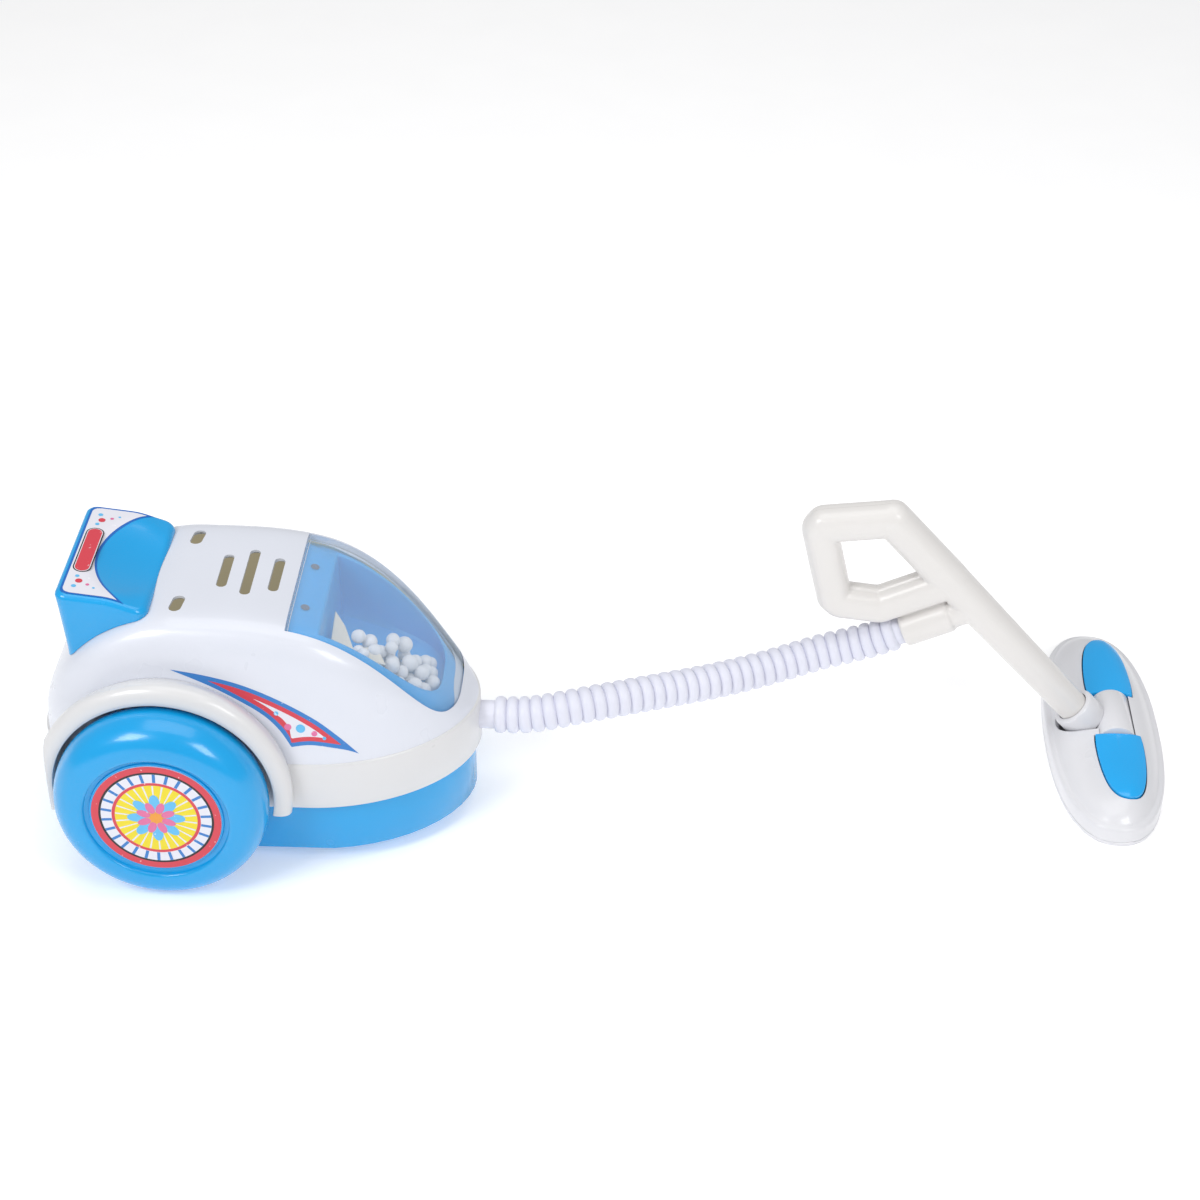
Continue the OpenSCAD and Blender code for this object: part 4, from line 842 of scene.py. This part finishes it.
def flash(side, hand):
    top, low = flash_line(FLASH_TOP), flash_line(FLASH_LOW[:FLASH_FOOT + 1], FLASH_LOW[FLASH_FOOT:])
    x0, x1, h = FLASH_TOP[0][0], FLASH_TOP[-1][0], 0.25

    def on_side(x, z, lift):
        return Vector((x, side * (shell_side(x, z) + lift), z))

    art = Print()
    for ink, inset, lift in FLASH_INKS:
        columns = []
        for i in range(FLASH_STEPS + 1):
            x = x0 + (x1 - x0) * i / FLASH_STEPS
            rise, fall = (top(x + h) - top(x - h)) / (2 * h), (low(x + h) - low(x - h)) / (2 * h)
            z1, z0 = top(x) - inset * hypot(1, rise), low(x) + inset * hypot(1, fall)
            if z1 > z0:
                columns.append([on_side(x, z0 + (z1 - z0) * k / FLASH_ACROSS, lift)
                                for k in range(FLASH_ACROSS + 1)])
        art.add(*sheet(columns), ink)
    for x, share, r, ink in FLASH_DOTS:
        z = low(x) + (top(x) - low(x)) * share
        art.fill([on_side(u, v, 0.14) for u, v in circle(x, z, r, 24)], ink)
    place(shade(art.make(f"flash_{hand}"), 60), "canister", "label_print")


for side, hand in SIDES[::-1]:
    flash(side, hand)

# Grip block: rounded walls, a sloping deck and a bowl for the fingers
GRIP_REAR, GRIP_FRONT, GRIP_TOP_Z, GRIP_FALL, GRIP_DECK_L, GRIP_W, GRIP_NOD = 33, 4, 96, 2.6, 21, 53, 2.4
GRIP_ROUND, GRIP_CORNER, GRIP_DRAW, SCOOP_R, SCOOP_X, SCOOP_DEPTH = 2.2, 4.0, 2.0, 30.0, 6.8, 6.0


def grip_deck(x):
    return GRIP_TOP_Z - GRIP_FALL * (x + GRIP_REAR) / GRIP_DECK_L - GRIP_NOD * ease((x + 18) / 14)


def soft_min(a, b, k):
    h = clamp(0.5 + 0.5 * (b - a) / k)
    return b + (a - b) * h - k * h * (1 - h)


def grip_top(x, y):
    """Height of the deck with the bowl taken out."""
    bowl = (SCOOP_R ** 2 + SCOOP_DEPTH ** 2) / (2 * SCOOP_DEPTH)
    reach = (x - SCOOP_X) ** 2 + y * y
    floor = GRIP_TOP_Z - GRIP_FALL - SCOOP_DEPTH + bowl - sqrt(max(bowl * bowl - reach, 0))
    return soft_min(grip_deck(x), floor, 0.7)


def grip_outline(d, steps=14):
    """Rounded rectangle in plan, drawn in by d, always with the same count of points."""
    x0, x1, half = -GRIP_REAR + d, -GRIP_FRONT - d, GRIP_W / 2 - d
    corners, points = [(x0, -half), (x1, -half), (x1, half), (x0, half)], []
    for (ax, ay), (bx, by) in zip(corners, corners[1:] + corners[:1]):
        length = hypot(bx - ax, by - ay)
        r = min(max(GRIP_CORNER - d, 0.0), length / 2)
        ux, uy = (bx - ax) / length, (by - ay) / length
        for k in range(25):
            t = r + (length - 2 * r) * k / 24
            points.append((ax + ux * t, ay + uy * t))
        cx, cy = bx - ux * r - uy * r, by - uy * r + ux * r
        for k in range(1, steps):
            a = pi / 2 * k / steps
            points.append((cx + r * (uy * cos(a) + ux * sin(a)), cy + r * (uy * sin(a) - ux * cos(a))))
    return points


def grip():
    rings = []
    base = grip_outline(0)
    for share in (0.0, 0.25, 0.5, 0.75, 0.9):
        ring = []
        for x, y in base:
            top, foot = grip_top(x, y) - GRIP_ROUND, GRIP_TOP_Z - 40
            z = foot + (top - foot) * share
            lean = GRIP_DRAW * clamp((GRIP_TOP_Z - z) / 24) * clamp((-x - GRIP_REAR + 8) / 8)
            ring.append((x + lean, y, z))
        rings.append(ring)
    insets = [(GRIP_ROUND * (1 - cos(a)), GRIP_ROUND * (1 - sin(a))) for a in (pi / 2 * i / 8 for i in range(1, 9))]
    reach = (GRIP_REAR - GRIP_FRONT) / 2 - 0.001
    insets += [(GRIP_ROUND + (reach - GRIP_ROUND) * i / 40, 0) for i in range(1, 41)]
    rings += [[(x, y, grip_top(x, y) - drop) for x, y in grip_outline(d)] for d, drop in insets]
    obj = make("grip_moulded", *loft(rings, False), CANISTER, [BLUE])
    combine(obj, shell_block("core", -SEAT_GAP / 2, 0))
    place(shade(paint(obj, BLUE), 50), "canister", "toy_blue", "grip")


grip()

# Grip sticker: white film with a red lozenge and plain dots, ringed by a darker band of painted groove shade
STICKER_EDGE_R, STICKER_HALF, STICKER_REAR, STICKER_ROUND, LOZENGE_X = 30.6, 24.9, 31.2, 2.5, -27.0
LOZENGE = [(2.9, 12.6, 0.13, INK_BLACK), (2.5, 12.2, 0.16, INK_WHITE), (2.25, 11.95, 0.19, INK_RED)]
STICKER_DOTS = [(-27.4, 14.9, 0.7, INK_SKY), (-26.4, 17.4, 1.15, INK_RED), (-27.4, 20.4, 0.8, INK_SKY),
                (-23.4, 18.9, 0.6, INK_PINK), (-21.2, 20.3, 0.45, INK_SKY)]


def sticker_band(art, margin, lift, ink):
    """The strip of deck between the rear edge and the bowl, drawn in by margin."""
    half, steps, across = STICKER_HALF - margin, 120, 10
    columns = []
    for i in range(steps + 1):
        y = half * (2 * i / steps - 1)
        turned = clamp((abs(y) - half + STICKER_ROUND) / STICKER_ROUND)
        rear = -STICKER_REAR + margin + STICKER_ROUND * (1 - sqrt(1 - turned ** 2))
        front = SCOOP_X - sqrt((STICKER_EDGE_R + margin) ** 2 - y * y)
        if front > rear:
            xs = [rear + (front - rear) * k / across for k in range(across + 1)]
            columns.append([(x, y, grip_top(x, y) + lift) for x in xs])
    art.add(*sheet(columns), ink)


def grip_sticker():
    art = Print()
    # A darker blue band of painted shade stands for the groove round the sticker.
    sticker_band(art, 0.0, 0.04, GROOVE_SHADE_BLUE)
    sticker_band(art, 0.75, 0.09, INK_WHITE)
    for half, reach, lift, ink in LOZENGE:
        outline = capsule(LOZENGE_X, -reach + half, LOZENGE_X, reach - half, half)
        art.fill([(x, y, grip_deck(x) + lift) for x, y in outline], ink)
    for s in (-1, 1):
        for x, y, r, ink in STICKER_DOTS:
            art.fill([(u, v, grip_deck(u) + 0.14) for u, v in circle(x, s * y, r, 20)], ink)
    place(shade(art.make("grip_sticker"), 60), "canister", "label_print", "grip_label")


grip_sticker()

# Wand: round bars merged into one smooth form, cut along the moulding's middle plane
WAND_TILT, WAND_L, COLLAR = radians(48.35), 100.4, Vector((-14.7, 0, 16.2))
WAND_FOOT_D, WAND_TOP_D, BAR_D, SOCKET_D, SOCKET_L = 10.7, 12.6, 11.8, 12.4, 17.2
TOP_SLOPE, REAR_SLOPE, BOTTOM_SLOPE, LINK_SLOPE = (radians(a) for a in (6.6, 76.9, 6.7, 24.7))
BAR_TOP_L, BAR_REAR_L, BAR_BOTTOM_L, SOCKET_DROP, SOCKET_BACK = 24.4, 30.4, 15.2, 12.8, 4.9
WAND_VOXEL, SEAM, CORNER_CUT, LIP_W, LIP_H, WEB_W = 0.4, 0.05, 1.8, 3, 0.6, 3.2
WAND_UP = Vector((-cos(WAND_TILT), 0, sin(WAND_TILT)))


def bar(a, b, ra, rb, power, sides=28):
    """A bar between points in the wand's middle plane, with a boxy round section and domed ends."""
    t = (b - a).normalized()
    dome = [pi / 2 * i / 6 for i in range(6)]
    spots = [(a - t * ra * cos(q), max(ra * sin(q), 0.05)) for q in dome] + [(a, ra), (b, rb)]
    spots += [(b + t * rb * cos(q), max(rb * sin(q), 0.05)) for q in reversed(dome)]
    side, section = Vector((0, 1, 0)), circle(0, 0, 1, sides)
    up = side.cross(t)
    rings = [[c + r * (abs(u) ** power + abs(v) ** power) ** (-1 / power) * (u * side + v * up) for u, v in section]
             for c, r in spots]
    return make("bar", *loft(rings, False), WAND)


def plate(points, width):
    """A flat plate that lies along the wand's middle plane."""
    rings = [[p + Vector((0, y, 0)) for p in points] for y in (-width / 2, width / 2)]
    return make("bar", *loft(rings, False), WAND)


def cut_back(p, q):
    """The point on the way from a corner p to q where the corner's cut ends."""
    return p + (q - p).normalized() * CORNER_CUT


def heading(angle):
    """Direction in the wand's middle plane, at an angle above +X."""
    return Vector((cos(angle), 0, sin(angle)))


def wand():
    tr = COLLAR + WAND_L * WAND_UP
    tl = tr - BAR_TOP_L * heading(TOP_SLOPE)
    bl = tl + BAR_REAR_L * heading(-REAR_SLOPE)
    low = bl + BAR_BOTTOM_L * heading(-BOTTOM_SLOPE)
    link = heading(LINK_SLOPE)
    cross = lambda p, q: p.x * q.z - p.z * q.x
    joint = low + link * cross(tr - low, WAND_UP) / cross(link, WAND_UP)
    normal = Vector((sin(LINK_SLOPE), 0, -cos(LINK_SLOPE)))
    end = joint + SOCKET_DROP * normal - SOCKET_BACK * link
    mouth = end - SOCKET_L * link
    tl_a, tl_b, bl_a, bl_b = cut_back(tl, tr), cut_back(tl, bl), cut_back(bl, tl), cut_back(bl, low)
    thick, thin = WAND_TOP_D / 2, BAR_D / 2
    bars = [bar(COLLAR, joint, WAND_FOOT_D / 2, thick, 2.2), bar(joint, tr, thick, thick, 2.4)]
    for a, b in ((tr, tl_a), (tl_a, tl_b), (tl_b, bl_a), (bl_a, bl_b), (bl_b, low), (low, joint)):
        bars.append(bar(a, b, thin, thin, 2.7))
    for a, b in ((bl, low), (low, joint)):
        t = (b - a).normalized()
        n = Vector((-t.z, 0, t.x))
        lip = [a + n * (thin - 1), b + n * (thin - 1), b + n * (thin + LIP_H), a + n * (thin + LIP_H)]
        bars.append(plate(lip, LIP_W))
    tube = Matrix(((link.x, 0, -link.z), (0, 1, 0), (link.z, 0, link.x))) @ Matrix.Rotation(pi / 2, 3, "Y")
    r = SOCKET_D / 2
    bars.append(lathe("bar", [(0, 0), (r - 0.9, 0), (r - 0.2, 0.3), (r, 1.0), (r, SOCKET_L - 0.6),
                              (r - 0.5, SOCKET_L), (0, SOCKET_L)], WAND + mouth, tube, 48))
    bars.append(cylinder("bar", r * 0.86, -1, 8, WAND + end, tube))
    web = [mouth + 2.5 * link, end, end - SOCKET_DROP * normal, mouth + 2.5 * link - SOCKET_DROP * normal]
    bars.append(plate(web, WEB_W))
    bars.append(cylinder("bar", WAND_FOOT_D / 2, -1, 6, WAND + COLLAR, tilt_to(-WAND_UP)))
    body = bars[0]
    bpy.ops.object.select_all(action="DESELECT")
    for b in bars:
        b.select_set(True)
    bpy.context.view_layer.objects.active = body
    bpy.ops.object.join()
    remesh = body.modifiers.new("merge", "REMESH")
    remesh.mode, remesh.voxel_size = "VOXEL", WAND_VOXEL * MM
    relax = body.modifiers.new("relax", "SMOOTH")
    relax.factor, relax.iterations = 0.5, 4
    bake(body)
    combine(body, cylinder("bore", HOSE_ROOT_D / 2 + SEAT_GAP, -2, 8, WAND + mouth, tube, 64))
    for side, hand in SIDES:
        half = add_object(f"wand_{hand}_moulded", body.data.copy())
        box = [(-200, side * SEAM), (60, side * SEAM), (60, side * 40), (-200, side * 40)]
        combine(half, prism("side", box, -5, 200, WAND), "INTERSECT")
        place(shade(paint(half, WAND_IVORY), 40), "wand", "wand_ivory", f"wand_half_{hand}")
    bpy.data.objects.remove(body)


wand()

# Elbow: the pivot barrel across the nozzle and the collar that takes the wand
BARREL_R, BARREL_L, BARREL_Z, PIVOT_R, PIVOT_L = 6.8, 22, 8.9, 2, 3.5
COLLAR_D, COLLAR_L, NECK_R, WAND_IN, RUN_GAP = 15, 9, 4.5, 6, 0.05


def elbow():
    foot, axis = COLLAR - COLLAR_L * WAND_UP, Vector((0, 0, BARREL_Z))
    r, h, e = BARREL_R, BARREL_L / 2, 0.5
    half = [(0, h + PIVOT_L), (PIVOT_R, h + PIVOT_L), (PIVOT_R, h), (r - e, h), (r - e * 0.3, h - e * 0.3),
            (r, h - e)]
    profile = [(q, -z) for q, z in half] + half[::-1]
    obj = lathe("nozzle_elbow_moulded", profile, WAND + axis, Matrix.Rotation(-pi / 2, 3, "X"), 96)
    r = COLLAR_D / 2
    collar = lathe("collar", [(0, 0), (r - 1.0, 0), (r - 0.3, 0.25), (r, 0.9), (r, COLLAR_L - 1.6),
                              (r - 0.5, COLLAR_L - 0.5), (r - 1.7, COLLAR_L), (0, COLLAR_L)],
                   WAND + COLLAR, tilt_to(-WAND_UP), 96)
    neck = cylinder("neck", NECK_R, 0, (foot - axis).length, WAND + axis, tilt_to((foot - axis).normalized()), 64)
    combine(obj, collar, "UNION")
    combine(obj, neck, "UNION")
    combine(obj, cylinder("bore", WAND_FOOT_D / 2 + 0.35, -2, WAND_IN + RUN_GAP, WAND + COLLAR,
                          tilt_to(-WAND_UP), 96))
    place(shade(paint(obj, NOZZLE_WHITE), 40), "wand", "nozzle_white", "nozzle_elbow")


elbow()

# Nozzle: an oval sole, a stepped domed cover and two blue inserts
NOZZLE_L, NOZZLE_W, NOZZLE_H, SOLE_T, NOZZLE_POWER, BARREL_X, OVAL_X = 110, 39, 14, 1.6, 2.4, 4.3, 1.1
COVER = [(0.25, 1.6), (0, 1.9), (0, 5.6), (0.12, 6.3), (0.5, 6.9), (1.1, 7.15), (1.9, 7.25), (2.3, 7.42),
         (2.75, 7.9), (3.4, 8.55), (4.4, 9.4), (5.6, 10.15), (7, 10.85), (8.6, 11.5), (10.4, 12.05), (12.2, 12.45),
         (14, 12.75), (16.2, 12.95), (18.6, 13.0)]
POST_W, POST_T, SLOT_GAP, INSERT_START, INSERT_END, INSERT_HALF, INSERT_RISE = 7, 3, 0.4, 11.6, 44.4, 8, 0.7
TILTS = (-5, 1, 8, 16, 25)
LEAF = [(0, 0.96), (0.14, 1.0), (0.34, 0.99), (0.54, 0.93), (0.71, 0.83), (0.84, 0.69), (0.93, 0.5), (0.98, 0.28),
        (1.0, 0.0)]


def oval(d, steps=120):
    bulge = lambda v: copysign(abs(v) ** (2 / NOZZLE_POWER), v)
    return [(OVAL_X + (NOZZLE_W / 2 - d) * bulge(cos(a)), (NOZZLE_L / 2 - d) * bulge(sin(a))) for a in turns(steps)]


def cover_shift(d):
    return (BARREL_X - OVAL_X) * ease((d - 2) / 14)


def cover_block(name, rise, thin, foot_z=SOLE_T):
    rings = [[(x + cover_shift(d), y, z + rise - thin) for x, y in oval(d + thin)]
             for d, z in COVER if d + thin < NOZZLE_W / 2 - 0.4]
    foot = [(x, y, foot_z) for x, y in oval(COVER[0][0] + thin)]
    return make(name, *loft([foot, *rings], False), NOZZLE)


def leaf_outline(s, d):
    right = []
    for t, w in spline_2d(LEAF, 6):
        y = INSERT_START - d + (INSERT_END - INSERT_START + 2 * d) * t
        right.append((BARREL_X + INSERT_HALF * max(w, 0) + (d if w > 0 else 0), s * y))
    left = [(2 * BARREL_X - x, y) for x, y in right[::-1]]
    return right + left


def nozzle():
    sole = make("nozzle_sole_moulded", *loft([[(x, y, z) for x, y in oval(d)] for d, z in
                ((0.6, 0), (0.15, 0.2), (0, 0.6), (0, SOLE_T - 0.25), (0.25, SOLE_T - 0.02))], False), NOZZLE)
    for s in (-1, 1):
        y0 = s * (BARREL_L / 2 + SEAT_GAP)
        y1, left, right = y0 + s * POST_T, BARREL_X - POST_W / 2, BARREL_X + POST_W / 2
        outline = [(left, y0), (right, y0), (right, y1), (left, y1)]
        combine(sole, prism("post", outline, 1, BARREL_Z + 2.75, NOZZLE), "UNION")
    axis, across = NOZZLE + Vector((BARREL_X, 0, BARREL_Z)), Matrix.Rotation(pi / 2, 3, "X")
    combine(sole, cylinder("bore", PIVOT_R + RUN_GAP, -20, 20, axis, across))
    for s in (-1, 1):
        combine(sole, lathe("bore", [(0, -1), (2.3, -1), (2.3, 0.8), (1.3, 0.8), (1.3, 3), (0, 3)],
                            NOZZLE + Vector((-9, s * 26, 0)), None, 40))
    place(shade(paint(sole, NOZZLE_WHITE), 40), "nozzle", "nozzle_white", "nozzle_sole")

    cover = cover_block("nozzle_cover_moulded", 0, 0)
    combine(cover, cover_block("hollow", 0, 1.5, -4))
    half = BARREL_L / 2 + SLOT_GAP
    combine(cover, cylinder("slot", BARREL_R + SLOT_GAP, -half, half, axis, across, 96))
    r, reach = COLLAR_D / 2 + SLOT_GAP, COLLAR - Vector((0, 0, BARREL_Z))
    for tilt in TILTS:
        turn = Matrix.Rotation(radians(tilt), 3, "Y")
        slot = lathe("slot", [(0, -3), (r, -3), (r, COLLAR_L + 0.4), (0, COLLAR_L + 8)], axis + turn @ reach,
                     turn @ tilt_to(-WAND_UP), 64)
        combine(cover, slot)
    for s in (-1, 1):
        combine(cover, prism("slot", leaf_outline(s, 0.35), 8, NOZZLE_H + 2, NOZZLE))
    place(shade(paint(cover, NOZZLE_WHITE), 36), "nozzle", "nozzle_white", "nozzle_cover")

    for s, end in ((-1, "near"), (1, "far")):
        insert = prism(f"insert_{end}_moulded", leaf_outline(s, 0), 6, NOZZLE_H + 3, NOZZLE)
        combine(insert, cover_block("skin", INSERT_RISE, 0), "INTERSECT")
        combine(insert, cover_block("hollow", INSERT_RISE - 1.9, 0, -4))
        bake(bevel(insert, 0.5, 3, 50))
        place(shade(paint(insert, INSERT_BLUE), 40), "nozzle", "toy_blue", f"nozzle_insert_{end}")


nozzle()

# CAD nodes that keep their own shape get a finish and softened edges
FINISH = {BLUE: "chassis battery_door", SKIRT_WHITE: "fan front_roller", SLEEVE: "battery_cells",
          BLACK: "switch_body switch_knob", STEEL: "motor motor_shaft battery_contacts battery_springs door_screw "
          "rear_axle roller_pin shell_screws nozzle_screws"}
SOFTENED = {"chassis": 0.8, "battery_door": 0.4, "front_roller": 0.5, "switch_knob": 0.3, "switch_body": 0.3}
for node, material in ((node, material) for material, names in FINISH.items() for node in names.split()):
    obj = paint(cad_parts[node], material)
    obj.data.polygons.foreach_set("use_smooth", [True] * len(obj.data.polygons))
    weld = obj.modifiers.new("weld", "WELD")
    weld.merge_threshold = 0.01 * MM
    bevel(obj, SOFTENED.get(node, 0.1), 2, 35, True)

# Stage: a pale floor, soft boxes and an even white surround
floor_mesh = bpy.data.meshes.new("floor")
floor_mesh.from_pydata([(-6, -6, 0), (6, -6, 0), (6, 6, 0), (-6, 6, 0)], [], [(0, 1, 2, 3)])
floor = add_object("floor", floor_mesh)
floor_mesh.materials.append(plastic("floor_pale", (0.93, 0.93, 0.935), 0.6, 0.01, 0.0, glow=0.3))


def soft_box(name, at, aim, size, power):
    light = bpy.data.lights.new(name, "AREA")
    light.shape, light.size, light.size_y, light.energy = "RECTANGLE", size[0], size[1], power
    obj = add_object(name, light)
    obj.location = at
    obj.rotation_euler = (Vector(aim) - Vector(at)).to_track_quat("-Z", "Y").to_euler()


soft_box("key", (-0.55, -0.55, 0.75), (-0.1, 0, 0.04), (0.35, 0.35), 3.7)
soft_box("fill", (0.5, -0.6, 0.7), (0, 0, 0.04), (0.3, 0.4), 2.6)
soft_box("overhead", (0, 0.1, 1.1), (0, 0, 0), (0.9, 0.9), 3.9)
world = bpy.data.worlds.new("surround")
world.use_nodes = True
background = world.node_tree.nodes["Background"].inputs
background["Color"].default_value, background["Strength"].default_value = (1, 1, 1, 1), 0.42
bpy.context.scene.world = world
bpy.context.scene.view_settings.view_transform = "Standard"
